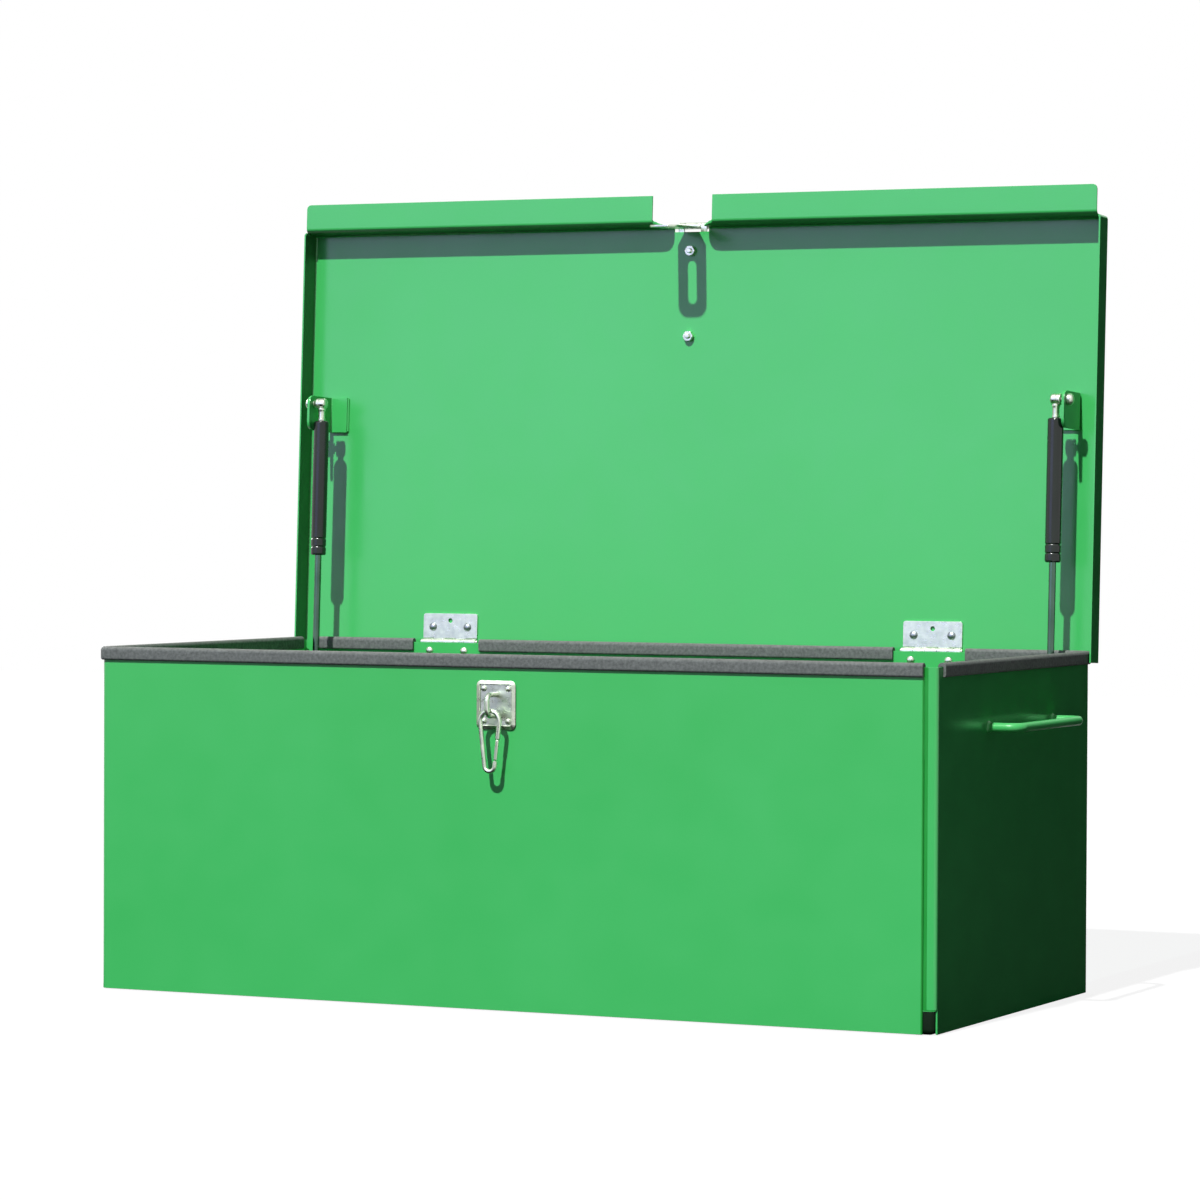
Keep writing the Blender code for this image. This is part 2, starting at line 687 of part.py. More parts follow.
def build_hasp(lid):
    """A long leaf bolted on the lid, and a slotted strap that hangs through the notch in the lip."""
    half = HASP_WIDTH / 2
    middle = HASP_KNUCKLE / 2
    front = -HASP_LEAF_START
    back = -HASP_LEAF_LENGTH
    leaf_outline = rounded_box(-half, back, half, front, LEAF_CORNER * 2, 4)
    bolt_reaches = [HASP_BOLT_FRONT, HASP_BOLT_FRONT + HASP_BOLT_PITCH]
    clear = BOLT_SHANK_RADIUS + GAP
    holes = [circle((0, -reach), clear) for reach in bolt_reaches]
    onto_lid = Matrix.Rotation(math.radians(90), 4, "X")
    at = (HASP_X, HASP_AXIS_Y, HASP_AXIS_Z)
    flat = plate([leaf_outline] + holes, KNUCKLE_RADIUS - HASP_LEAF, KNUCKLE_RADIUS, ON_FRONT)
    flat.transform(onto_lid)
    leaf = piece("hasp_leaf", flat, ZINC, lid_pivot, at)
    for number, (start, end) in enumerate(((-half, -middle - GAP), (middle + GAP, half))):
        roll = plate([knuckle_outline(HASP_LEAF, HASP_LEAF_START + 0.006)], start, end, ACROSS)
        roll.transform(onto_lid)
        boolean(leaf, helper(f"hasp_leaf_roll_{number}", roll, lid_pivot, at), "UNION")

    neck = STRAP_NECK / 2
    start = KNUCKLE_RADIUS + 2 * GAP
    foot = arc((half - STRAP_END_RADIUS, -STRAP_LENGTH + STRAP_END_RADIUS), STRAP_END_RADIUS, 0, -90, 5)
    right = [(neck, -start), (neck, -STRAP_NECK_END), (half, -STRAP_SHOULDER)] + foot
    outline = right + [(-x, z) for x, z in reversed(right)]
    slot = rounded_box(-SLOT_WIDTH / 2, -SLOT_END, SLOT_WIDTH / 2, -SLOT_START, SLOT_WIDTH / 2, 5)
    face_back = Matrix.Rotation(math.pi, 4, "Z")
    hinge_leaf(
        "hasp_strap",
        outline,
        [slot],
        HASP_LEAF,
        [(-middle + GAP, middle - GAP)],
        ZINC,
        hasp_pivot,
        face_back,
        (0, 0, 0),
    )
    along = Matrix.Rotation(math.radians(90), 4, "Y")
    pin = [(0, half), (HASP_PIN_RADIUS, half), (HASP_PIN_RADIUS, -half), (0, -half)]
    piece("hasp_pin", turned(pin, along), ZINC, lid_pivot, at)

    for label, reach in zip(("front", "rear"), bolt_reaches):
        head_face = HASP_AXIS_Z - KNUCKLE_RADIUS + HASP_LEAF + GAP
        inner = LID_INNER - GAP
        shank = head_face - inner + NUT_HEIGHT + BOLT_TIP
        profile = [(0, BOLT_HEAD)]
        for angle in (65, 35):
            radians = math.radians(angle)
            profile.append((BOLT_HEAD_RADIUS * math.cos(radians), BOLT_HEAD * math.sin(radians)))
        profile += [(BOLT_HEAD_RADIUS, 0), (BOLT_SHANK_RADIUS, 0), (BOLT_SHANK_RADIUS, -shank), (0, -shank)]
        place = Matrix.Translation((HASP_X, HASP_AXIS_Y + reach, head_face))
        piece(f"hasp_bolt_{label}", turned(profile, place), ZINC, lid_pivot)
        nut = plate([circle((0, 0), NUT_RADIUS, 6), circle((0, 0), clear)], -NUT_HEIGHT, 0)
        nut.transform(Matrix.Translation((HASP_X, HASP_AXIS_Y + reach, inner)))
        piece(f"hasp_nut_{label}", nut, ZINC, lid_pivot)
        hole(lid, f"lid_hole_hasp_{label}", clear, lid_pivot, place, 0.02)


def build_staple(front_sheet):
    """A plate riveted to the front wall, with an upright wire eye that takes the strap and the clip."""
    plate_back = HALF_DEPTH + GAP
    plate_face = plate_back + STAPLE_PLATE
    half_z = STAPLE_HEIGHT / 2
    left = HASP_X - STAPLE_WIDTH / 2
    right = HASP_X + STAPLE_WIDTH / 2
    low = STAPLE_Z - half_z
    high = STAPLE_Z + half_z
    inset = STAPLE_RIVET_INSET
    places = [(x, z) for x in (left + inset, right - inset) for z in (low + inset, high - inset)]
    clear = RIVET_SHANK_RADIUS * SMALL_RIVET + GAP
    outline = rounded_box(left, low, right, high, LEAF_CORNER, 3)
    mesh = plate([outline] + [circle(place, clear, 12) for place in places], plate_back, plate_face, ON_FRONT)
    piece("staple_plate", mesh, ZINC)
    leg = STAPLE_LEG_PITCH / 2
    root = -plate_face - GAP
    crown = -HALF_DEPTH - STAPLE_REACH + STAPLE_WIRE / 2
    corners = [
        (root, STAPLE_Z - leg),
        (crown, STAPLE_Z - leg),
        (crown, STAPLE_Z + leg),
        (root, STAPLE_Z + leg),
    ]
    path = [(HASP_X, y, z) for y, z in rounded_path(corners, STAPLE_BEND, 4)]
    piece("staple_eye", wire(path, STAPLE_WIRE / 2), ZINC)
    for number, (x, z) in enumerate(places, 1):
        place = Matrix.Translation((x, -plate_face - GAP, z)) @ ON_FRONT
        rivet(f"staple_rivet_{number}", None, place, SHEET + STAPLE_PLATE + 3 * GAP, SMALL_RIVET)
        hole(front_sheet, f"front_hole_{number}", clear, None, place, 0.01)


def build_clip():
    """A pear shaped spring clip that hangs on the lower leg of the eye, with a straight gate."""
    leg_z = STAPLE_Z - STAPLE_LEG_PITCH / 2
    rest = STAPLE_WIRE / 2 + CLIP_WIRE / 2 + GAP
    y = -HALF_DEPTH - CLIP_STANDOFF
    pivot = empty("clip_pivot", (HASP_X, y, leg_z))
    top_centre = rest - CLIP_TOP_RADIUS
    foot_centre = rest + CLIP_WIRE - CLIP_LENGTH + CLIP_FOOT_RADIUS
    span = top_centre - foot_centre
    lean = math.degrees(math.asin((CLIP_TOP_RADIUS - CLIP_FOOT_RADIUS) / span))
    crown = arc((0, top_centre), CLIP_TOP_RADIUS, -lean, 180 + lean, 14)
    foot = arc((0, foot_centre), CLIP_FOOT_RADIUS, 180 + lean, 360 - lean, 12)
    right_top = Vector(crown[0])
    right_foot = Vector(foot[-1])
    along = (right_foot - right_top).normalized()
    hinge = right_top + along * CLIP_GATE_START
    nose = hinge + along * CLIP_GATE_LENGTH
    loop = [tuple(hinge - along * GAP)] + crown + foot + [tuple(nose + along * GAP)]
    body = wire([(x, 0, z) for x, z in loop], CLIP_WIRE / 2)
    piece("clip_body", body, ZINC, pivot)
    gate_pivot = empty("clip_gate_pivot", (hinge.x, 0, hinge.y), pivot)
    reach = nose - hinge
    tilt = math.atan2(reach.x, -reach.y)
    length = reach.length
    bar = CLIP_GATE_WIRE / 2
    profile = [(0, -GAP), (bar, -GAP - bar * 0.4), (bar, GAP - length), (0, GAP - length)]
    gate = turned(profile, Matrix.Rotation(-tilt, 4, "Y"), 10)
    piece("clip_gate", gate, ZINC, gate_pivot)


def build_handles():
    """A bent bar welded on each end wall."""
    front = HANDLE_SHIFT - HANDLE_SPAN / 2
    back = HANDLE_SHIFT + HANDLE_SPAN / 2
    for side, sign in (("left", -1), ("right", 1)):
        root = sign * (HALF_WIDTH + GAP)
        grip = sign * (HALF_WIDTH + HANDLE_REACH)
        corners = [(root, front), (grip, front), (grip, back), (root, back)]
        path = [(x, y, HANDLE_Z) for x, y in rounded_path(corners, HANDLE_BEND, 5)]
        piece(f"handle_{side}", wire(path, HANDLE_BAR / 2, 3), GREEN)


def bracket(name, sign, standoff, parent, turn, location):
    """An angle bracket whose leg carries a ball stud and whose foot is welded down."""
    leg = BRACKET_X
    foot = leg - BRACKET_FOOT
    reach = standoff + BRACKET_REACH
    corners = [(sign * foot, -GAP), (sign * (leg + BRACKET_PLATE), -GAP), (sign * (leg + BRACKET_PLATE), -reach)]
    path = rounded_path(corners, BRACKET_BEND, 4)
    outline = sheet_outline(path, -sign * BRACKET_PLATE)
    mesh = plate([outline], BRACKET_PAST_PIVOT - BRACKET_WIDTH, BRACKET_PAST_PIVOT, ON_FRONT)
    shape = bmesh.new()
    shape.from_mesh(mesh)
    shape.edges.ensure_lookup_table()
    tips = [
        edge
        for edge in shape.edges
        if all(abs(v.co.z + reach) < 1e-5 for v in edge.verts)
        and abs(edge.verts[0].co.y - edge.verts[1].co.y) < 1e-6
        and abs(edge.verts[0].co.x - edge.verts[1].co.x) > 1e-4
    ]
    bmesh.ops.bevel(shape, geom=tips, offset=BRACKET_CORNER, segments=4, profile=0.5, affect="EDGES")
    shape.to_mesh(mesh)
    shape.free()
    mesh.transform(turn)
    part = piece(name, mesh, GREEN, parent, location)
    bore = cylinder(STUD_SHANK_RADIUS + GAP, -0.02, 0.02, Matrix.Rotation(math.radians(90), 4, "Y"), 12)
    bore.transform(turn @ Matrix.Translation((sign * leg, 0, -standoff)))
    boolean(part, helper(f"{name}_bore", bore, parent, location), "DIFFERENCE")
    return part


def stud(name, sign, with_ball, parent, location):
    """A stud along the width, from its dome head outside the bracket to the ball in the socket."""
    head_face = BRACKET_X + BRACKET_PLATE + GAP - STRUT_X
    shoulder = BRACKET_X - GAP - STRUT_X
    profile = [(0, head_face + STUD_HEAD)]
    for angle in (65, 35):
        radians = math.radians(angle)
        profile.append((STUD_HEAD_RADIUS * math.cos(radians), head_face + STUD_HEAD * math.sin(radians)))
    profile += [(STUD_HEAD_RADIUS, head_face), (STUD_SHANK_RADIUS, head_face), (STUD_SHANK_RADIUS, shoulder)]
    if with_ball:
        neck_angle = math.degrees(math.asin(STUD_NECK_RADIUS / BALL_RADIUS))
        angles = [neck_angle + (180 - neck_angle) * step / 6 for step in range(7)]
        profile += [(STUD_NECK_RADIUS, shoulder - GAP)]
        profile += [
            (BALL_RADIUS * math.sin(math.radians(a)), BALL_RADIUS * math.cos(math.radians(a))) for a in angles[:-1]
        ]
        profile += [(0, -BALL_RADIUS)]
    else:
        mouth = SOCKET_RADIUS + GAP
        profile += [(STUD_NECK_RADIUS, shoulder - GAP), (STUD_NECK_RADIUS, mouth), (0, mouth)]
    outwards = Matrix.Rotation(sign * math.radians(90), 4, "Y")
    return piece(name, turned(profile, outwards), ZINC, parent, location)


def socket(name, sign, stem_start, stem_end, with_cavity, parent, location):
    """A cup across the strut with a stem along it. The cup's mouth faces the bracket."""
    outwards = Matrix.Rotation(sign * math.radians(90), 4, "Y")
    along = Matrix.Rotation(math.radians(-90), 4, "X")
    cup = turned(
        [
            (0, SOCKET_RADIUS),
            (SOCKET_RADIUS * 0.85, SOCKET_RADIUS),
            (SOCKET_RADIUS, SOCKET_RADIUS * 0.75),
            (SOCKET_RADIUS, -SOCKET_RADIUS * 0.6),
            (SOCKET_RADIUS * 0.6, -SOCKET_RADIUS),
            (0, -SOCKET_RADIUS),
        ],
        outwards,
    )
    part = piece(name, cup, ZINC, parent, location)
    stem = cylinder(SOCKET_STEM_RADIUS, stem_start, stem_end, along, 12)
    boolean(part, helper(f"{name}_stem", stem, parent, location), "UNION")
    if with_cavity:
        clear = BALL_RADIUS + BALL_CLEAR
        angles = [180 * step / 8 for step in range(9)]
        ball = [(clear * math.sin(math.radians(a)), clear * math.cos(math.radians(a))) for a in angles]
        boolean(part, helper(f"{name}_cavity", turned(ball, outwards), parent, location), "DIFFERENCE")
        mouth = cylinder(STUD_SHANK_RADIUS + BALL_CLEAR, 0, 2 * SOCKET_RADIUS, outwards, 12)
        boolean(part, helper(f"{name}_mouth", mouth, parent, location), "DIFFERENCE")
    return part


def build_struts():
    """A gas strut on each side: barrel on the lid, rod to the back wall, a ball joint at each end."""
    along = Matrix.Rotation(math.radians(-90), 4, "X")
    upper = Vector((0, -STRUT_REACH, STRUT_Z))
    to_wall = Matrix.Rotation(math.radians(-90), 4, "X")
    wall_standoff = HALF_DEPTH - SHEET - STRUT_LOW.y
    barrel_end = STRUT_BARREL_START + STRUT_BARREL_LENGTH
    outer = STRUT_BARREL_RADIUS
    bore = STRUT_BORE_RADIUS
    bevel = STRUT_CHAMFER
    groove = outer - STRUT_GROOVE
    ring = barrel_end - STRUT_RING
    barrel_profile = [
        (0, barrel_end - STRUT_BORE_DEPTH),
        (bore, barrel_end - STRUT_BORE_DEPTH),
        (bore, barrel_end),
        (outer - bevel, barrel_end),
        (outer, barrel_end - bevel),
        (outer, ring + bevel),
        (groove, ring),
        (outer, ring - bevel),
        (outer, ring - STRUT_RING + bevel),
        (groove, ring - STRUT_RING),
        (outer, ring - STRUT_RING - bevel),
        (outer, STRUT_BARREL_START + bevel),
        (outer - bevel, STRUT_BARREL_START),
        (0, STRUT_BARREL_START),
    ]
    rod_start = barrel_end - STRUT_ROD_GRIP
    rod_end = STRUT_OPEN_LENGTH - SOCKET_STEM - GAP
    rod_edge = STRUT_ROD_RADIUS / 4
    rod_profile = [
        (0, rod_end),
        (STRUT_ROD_RADIUS, rod_end),
        (STRUT_ROD_RADIUS, rod_start + rod_edge),
        (STRUT_ROD_RADIUS - rod_edge, rod_start),
        (0, rod_start),
    ]
    for side, sign in (("left", -1), ("right", 1)):
        name = f"strut_{side}"
        pivot = empty(f"{name}_pivot", (sign * STRUT_X, *upper.yz), lid_pivot)
        bracket(f"{name}_lid_bracket", sign, STRUT_STANDOFF, lid_pivot, Matrix.Identity(4), (0, upper.y, LID_INNER))
        stud(f"{name}_lid_stud", sign, True, lid_pivot, (sign * STRUT_X, *upper.yz))
        socket(f"{name}_upper_socket", sign, 0, STRUT_BARREL_START - GAP, True, pivot, (0, 0, 0))
        piece(f"{name}_barrel", turned(barrel_profile, along), BLACK, pivot)
        piece(f"{name}_rod", turned(rod_profile, along, 12), CHROME, pivot)
        socket(f"{name}_lower_socket", sign, -SOCKET_STEM, 0, False, pivot, (0, STRUT_OPEN_LENGTH, 0))
        wall_face = (0, HALF_DEPTH - SHEET, STRUT_LOW.z)
        bracket(f"{name}_wall_bracket", sign, wall_standoff, None, to_wall, wall_face)
        stud(f"{name}_wall_stud", sign, False, None, (sign * STRUT_X, *STRUT_LOW.yz))


front_sheet, back_sheet = build_walls()
build_floor()
build_seals()
lid_sheet = build_lid()
build_hinges(lid_sheet, back_sheet)
build_hasp(lid_sheet)
build_staple(front_sheet)
build_clip()
build_handles()
build_struts()
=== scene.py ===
# %% [markdown]
# # A tractor tool box, dressed for its picture
#
# The box is a folded sheet steel chest with a hinged lid, two gas struts, a hasp and a spring clip.
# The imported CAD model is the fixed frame: it says where each piece is and how it moves.
# This lesson makes the visible pieces in the same metres, one kind of work at a time.

import math

import bpy
from mathutils import Matrix, Vector


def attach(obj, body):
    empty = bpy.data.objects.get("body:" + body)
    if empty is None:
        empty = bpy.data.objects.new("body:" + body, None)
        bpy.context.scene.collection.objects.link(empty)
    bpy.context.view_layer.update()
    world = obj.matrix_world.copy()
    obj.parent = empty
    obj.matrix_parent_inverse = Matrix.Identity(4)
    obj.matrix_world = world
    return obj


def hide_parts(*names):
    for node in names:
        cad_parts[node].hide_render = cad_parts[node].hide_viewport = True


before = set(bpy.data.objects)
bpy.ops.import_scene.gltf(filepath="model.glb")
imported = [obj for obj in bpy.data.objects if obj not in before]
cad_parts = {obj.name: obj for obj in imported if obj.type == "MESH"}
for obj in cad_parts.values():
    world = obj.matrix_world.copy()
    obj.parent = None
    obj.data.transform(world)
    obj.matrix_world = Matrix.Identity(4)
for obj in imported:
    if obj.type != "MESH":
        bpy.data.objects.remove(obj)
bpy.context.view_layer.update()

# %% [markdown]
# ## Finishes
#
# Powder paint looks flat from afar, but close up it has an orange peel skin, a faint drift of tone and
# smudges that change its gloss. Rubber and plating have grain of their own. All of this is noise at
# different sizes, so one node group makes it and each finish uses it with its own values. A picture
# texture could do the same, but it would stretch round the folds.

# %% Grain group
def new_group(name, numbers, outputs):
    """A shader node group: a vector and some numbers go in, and other numbers come out."""
    group = bpy.data.node_groups.new(name, "ShaderNodeTree")
    group.interface.new_socket("Vector", in_out="INPUT", socket_type="NodeSocketVector")
    for label, value in numbers.items():
        number = group.interface.new_socket(label, in_out="INPUT", socket_type="NodeSocketFloat")
        number.default_value = value
    for label in outputs:
        group.interface.new_socket(label, in_out="OUTPUT", socket_type="NodeSocketFloat")
    return group, group.nodes.new("NodeGroupInput"), group.nodes.new("NodeGroupOutput")


def noise_into(group, start, size_label, detail, roughness):
    """A noise texture on the group's vector, at the scale that one input names."""
    noise = group.nodes.new("ShaderNodeTexNoise")
    noise.inputs["Detail"].default_value = detail
    noise.inputs["Roughness"].default_value = roughness
    group.links.new(start.outputs["Vector"], noise.inputs["Vector"])
    group.links.new(start.outputs[size_label], noise.inputs["Scale"])
    return noise


grain_group, grain_in, grain_out = new_group(
    "surface_grain",
    {"Grain Scale": 400.0, "Drift Scale": 4.0, "Smudge Scale": 18.0},
    ("Height", "Drift", "Smudge"),
)
for output, size_label, detail, roughness in (
    ("Height", "Grain Scale", 2.0, 0.45),
    ("Drift", "Drift Scale", 3.0, 0.55),
    ("Smudge", "Smudge Scale", 4.0, 0.6),
):
    texture = noise_into(grain_group, grain_in, size_label, detail, roughness)
    grain_group.links.new(texture.outputs["Fac"], grain_out.inputs[output])
print("group:", grain_group.name)

# %% [markdown]
# Dust settles on whatever faces up. A second group gives that mask: the upward part of the surface
# normal, broken by noise. It could be painted by hand, but a mask from the normal fits every piece.

# %% Dust group
dust_group, dust_in, dust_out = new_group("settled_dust", {"Scale": 60.0, "Amount": 0.2}, ("Mask",))
dust_noise = noise_into(dust_group, dust_in, "Scale", 5.0, 0.65)
dust_normal = dust_group.nodes.new("ShaderNodeNewGeometry")
dust_split = dust_group.nodes.new("ShaderNodeSeparateXYZ")
dust_facing = dust_group.nodes.new("ShaderNodeMapRange")
dust_facing.inputs["From Min"].default_value = 0.35
dust_facing.inputs["From Max"].default_value = 0.95
dust_group.links.new(dust_normal.outputs["Normal"], dust_split.inputs["Vector"])
dust_group.links.new(dust_split.outputs["Z"], dust_facing.inputs["Value"])
mask = dust_facing.outputs["Result"]
for factor in (dust_noise.outputs["Fac"], dust_in.outputs["Amount"]):
    times = dust_group.nodes.new("ShaderNodeMath")
    times.operation = "MULTIPLY"
    dust_group.links.new(mask, times.inputs[0])
    dust_group.links.new(factor, times.inputs[1])
    mask = times.outputs["Value"]
dust_group.links.new(mask, dust_out.inputs["Mask"])
print("group:", dust_group.name)

# %% [markdown]
# Each finish is then a short recipe: two tones mixed by the drift, dust on top, a range of roughness from
# the smudges, and the fine grain as a bump. Bare metal is the same with Metallic at 1. As only the
# numbers differ, they stand in one table.

# %% Finish recipe
def shade(red, green, blue):
    """Linear colour of an 8-bit display colour."""
    return tuple((value / 255) ** 2.2 for value in (red, green, blue)) + (1.0,)


DUST_COLOUR = shade(168, 164, 150)


def mix_colours(tree, mask, first, second):
    """A colour mix node whose two ends are colours or sockets."""
    mix = tree.nodes.new("ShaderNodeMix")
    mix.data_type = "RGBA"
    tree.links.new(mask, mix.inputs["Factor"])
    for socket, value in ((mix.inputs[6], first), (mix.inputs[7], second)):
        if isinstance(value, tuple):
            socket.default_value = value
        else:
            tree.links.new(value, socket)
    return mix.outputs[2]


def spread(tree, noise, low, high):
    """Stretches the middle of a noise, where most of its values lie, to a range."""
    node = tree.nodes.new("ShaderNodeMapRange")
    for label, value in (("From Min", 0.3), ("From Max", 0.7), ("To Min", low), ("To Max", high)):
        node.inputs[label].default_value = value
    tree.links.new(noise, node.inputs["Value"])
    return node.outputs["Result"]


def make_finish(name, first, second, gloss, grain, bump, dust, metallic=0.0, specular=0.5):
    """A finish: two tones, a low and high roughness, three noise scales, bump depth and dust."""
    finish = bpy.data.materials.new(name)
    finish.use_nodes = True
    tree = finish.node_tree
    shader = tree.nodes["Principled BSDF"]
    shader.inputs["Metallic"].default_value = metallic
    shader.inputs["Specular IOR Level"].default_value = specular
    place = tree.nodes.new("ShaderNodeTexCoord")
    noise = tree.nodes.new("ShaderNodeGroup")
    noise.node_tree = grain_group
    for label, value in zip(("Grain Scale", "Drift Scale", "Smudge Scale"), grain):
        noise.inputs[label].default_value = value
    tree.links.new(place.outputs["Object"], noise.inputs["Vector"])
    drift = spread(tree, noise.outputs["Drift"], 0.0, 1.0)
    colour = mix_colours(tree, drift, shade(*first), shade(*second))
    settle = tree.nodes.new("ShaderNodeGroup")
    settle.node_tree = dust_group
    settle.inputs["Amount"].default_value = dust
    tree.links.new(place.outputs["Object"], settle.inputs["Vector"])
    colour = mix_colours(tree, settle.outputs["Mask"], colour, DUST_COLOUR)
    tree.links.new(colour, shader.inputs["Base Color"])
    rough = spread(tree, noise.outputs["Smudge"], *gloss)
    tree.links.new(rough, shader.inputs["Roughness"])
    skin = tree.nodes.new("ShaderNodeBump")
    skin.inputs["Strength"].default_value = bump[0]
    skin.inputs["Distance"].default_value = bump[1]
    tree.links.new(noise.outputs["Height"], skin.inputs["Height"])
    tree.links.new(skin.outputs["Normal"], shader.inputs["Normal"])
    return finish

# %% The finishes of this box
# Tones, roughness, scales of grain, drift and smudge, bump strength and depth, dust, metallic, specular
ZINC_BUMP = (0.16, 0.0004)
recipes = {
    "green_paint": ((62, 169, 88), (66, 173, 93), (0.16, 0.26), (520, 3, 24), (0.10, 0.0004), 0.06),
    "rough_green_paint": ((62, 169, 88), (66, 173, 93), (0.34, 0.44), (900, 6, 40), (0.16, 0.0004), 0.06),
    # Darker green for the lid's fold faces: painted shade, not thinner paint.
    "fold_painted_shade_green": ((36, 98, 50), (42, 110, 58), (0.34, 0.50), (520, 9, 24), (0.14, 0.0004), 0.0),
    # Deeper green for the lapped seams: painted shade in the groove, not paint that ran together.
    "seam_painted_shade_green": ((20, 130, 45), (24, 138, 50), (0.34, 0.50), (520, 9, 24), (0.14, 0.0004), 0.0),
    # Near black for the tray's sides: painted shade in the notches at the foot, not bare primer.
    "notch_painted_shade_dark": ((8, 28, 12), (12, 38, 18), (0.50, 0.70), (700, 12, 30), (0.16, 0.0004), 0.0, 0, 0.2),
    "rubber": ((76, 80, 78), (101, 106, 103), (0.62, 0.85), (1100, 300, 60), (0.5, 0.0008), 0.20, 0, 0.35),
    "zinc_plate": ((193, 205, 189), (224, 234, 213), (0.22, 0.42), (650, 120, 160), ZINC_BUMP, 0.08, 1),
    # Darker zinc for the lid's rivets: painted shade on the same plating.
    "lid_rivet_painted_shade_zinc": ((138, 146, 154), (166, 173, 180), (0.3, 0.46), (650, 160, 160), ZINC_BUMP, 0.08, 1),
    "black_paint": ((18, 26, 22), (26, 36, 31), (0.18, 0.30), (800, 20, 40), (0.10, 0.0003), 0.08),
    # Green grey, dark tones for the rods: a painted reflection of the green lid on neutral chrome.
    "hard_chrome": ((74, 102, 88), (90, 116, 102), (0.10, 0.20), (1500, 30, 90), (0.05, 0.0002), 0.04, 1),
}
finishes = {name: make_finish(name, *recipe) for name, recipe in recipes.items()}
print("finishes:", ", ".join(finishes))

# %% [markdown]
# ## Places
#
# The small pieces are made at the origin and then set in their place. The lid's own pieces use the
# lid's frame: its origin is on the hinge line, and it is turned open as the lid is in the picture.

# %% Places in the box and in the lid
HALF_WIDTH = 0.500
HALF_DEPTH = 0.236
RIM = 0.3785
AIR = 0.0003
HINGE_X = 0.3085
HINGE_AXIS = Vector((0, 0.2403, 0.3790))
LID = Matrix.Translation(HINGE_AXIS) @ Matrix.Rotation(math.radians(-92.6), 4, "X")
HASP_X = -0.005
HASP_AXIS = Vector((HASP_X, -0.4925, 0.0106))
STAPLE_Z = 0.3288
STRUT_X = 0.4667
FACING_FRONT = Matrix(((1, 0, 0, 0), (0, 0, -1, 0), (0, 1, 0, 0), (0, 0, 0, 1)))
SIDES = (("left", -1), ("right", 1))
SAME_PLACE = 0.000001


def turn(degrees, axis):
    """A turn about one axis through the origin."""
    return Matrix.Rotation(math.radians(degrees), 4, axis)


def shift(*place):
    """A move from the origin to a place."""
    return Matrix.Translation(place)


print("lid stands", round((LID @ Vector((0, -0.492, 0.0))).z, 4), "m high")

# %% [markdown]
# ## Folded sheets
#
# The walls, the tray, the lid and the brackets are flat sheet with folded corners, and the CAD already
# has their true folds. They could be drawn again, but a welded copy of each CAD node keeps the fit.
# What the copy lacks is the soft edge of painted sheet, so every sharp edge gets a small round.

# %% Pick up, copy and round off
def put_all_down():
    """Object mode, with nothing selected."""
    if bpy.context.object and bpy.context.object.mode != "OBJECT":
        bpy.ops.object.mode_set(mode="OBJECT")
    bpy.ops.object.select_all(action="DESELECT")


def pick_up(piece):
    """Makes one piece the only one selected."""
    put_all_down()
    piece.select_set(True)
    bpy.context.view_layer.objects.active = piece


def keep_place():
    """Puts the place, turn and scale of what is selected into its mesh."""
    bpy.ops.object.transform_apply(location=True, rotation=True, scale=True)


def leave_edit_mode():
    """Back to object mode, when the shaping is done."""
    bpy.ops.object.mode_set(mode="OBJECT")


def welded_copy(node):
    """A copy of a CAD node with its triangles joined into whole faces again."""
    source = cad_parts[node]
    copy = bpy.data.objects.new(f"{node}_dressed", source.data.copy())
    bpy.context.scene.collection.objects.link(copy)
    pick_up(copy)
    bpy.ops.mesh.customdata_custom_splitnormals_clear()
    bpy.ops.object.mode_set(mode="EDIT")
    bpy.ops.mesh.select_all(action="SELECT")
    bpy.ops.mesh.remove_doubles(threshold=0.000002)
    bpy.ops.mesh.dissolve_limited(angle_limit=math.radians(1.0))
    leave_edit_mode()
    return copy


def round_edges(piece, width, angle=40.0):
    """Rounds every edge that turns by more than the angle."""
    pick_up(piece)
    edges = piece.modifiers.new("rounded edges", "BEVEL")
    edges.width = width
    edges.segments = 2
    edges.limit_method = "ANGLE"
    edges.angle_limit = math.radians(angle)
    edges.use_clamp_overlap = False
    bpy.ops.object.modifier_apply(modifier=edges.name)

# %% Hand over a finished piece
def hand_over(piece, body, slot, finish, *nodes, angle=35.0):
    """Smooths a finished piece, gives it its finish, lets it ride on its body and counts its faces."""
    pick_up(piece)
    keep_place()
    bpy.ops.object.shade_smooth_by_angle(angle=math.radians(angle))
    flats = piece.modifiers.new("flat faces stay flat", "WEIGHTED_NORMAL")
    flats.keep_sharp = True
    bpy.ops.object.modifier_apply(modifier=flats.name)
    piece.data.materials.clear()
    piece.data.materials.append(finishes[finish])
    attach(piece, body)
    if nodes:
        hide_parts(*nodes)
    print(piece.name, "has", len(piece.data.polygons), "faces")


def painted(piece, body, *nodes):
    """Hands over a piece in the box's green paint."""
    hand_over(piece, body, "green_paint", "green_paint", *nodes)


def plated(piece, body, *nodes):
    """Hands over a piece in bright zinc."""
    hand_over(piece, body, "zinc_plate", "zinc_plate", *nodes)

# %% [markdown]
# At two corners the sheared end of one sheet laps over a flange of the other. That end has a softer edge,
# so it is rounded on its own. Near the rim the solid flange is cut away beside it, which leaves a slit. A
# strip could cover it, but here the end of the flange is drawn under the outer sheet.

# %% Lapped seams
LAP_END = 0.4855
FLANGE_END = 0.4875
FLANGE_FACE = 0.2337
# The painted seam shade stops at this line.
SEAM_SHADE_EDGE = 0.4895
NEAR = 0.0002


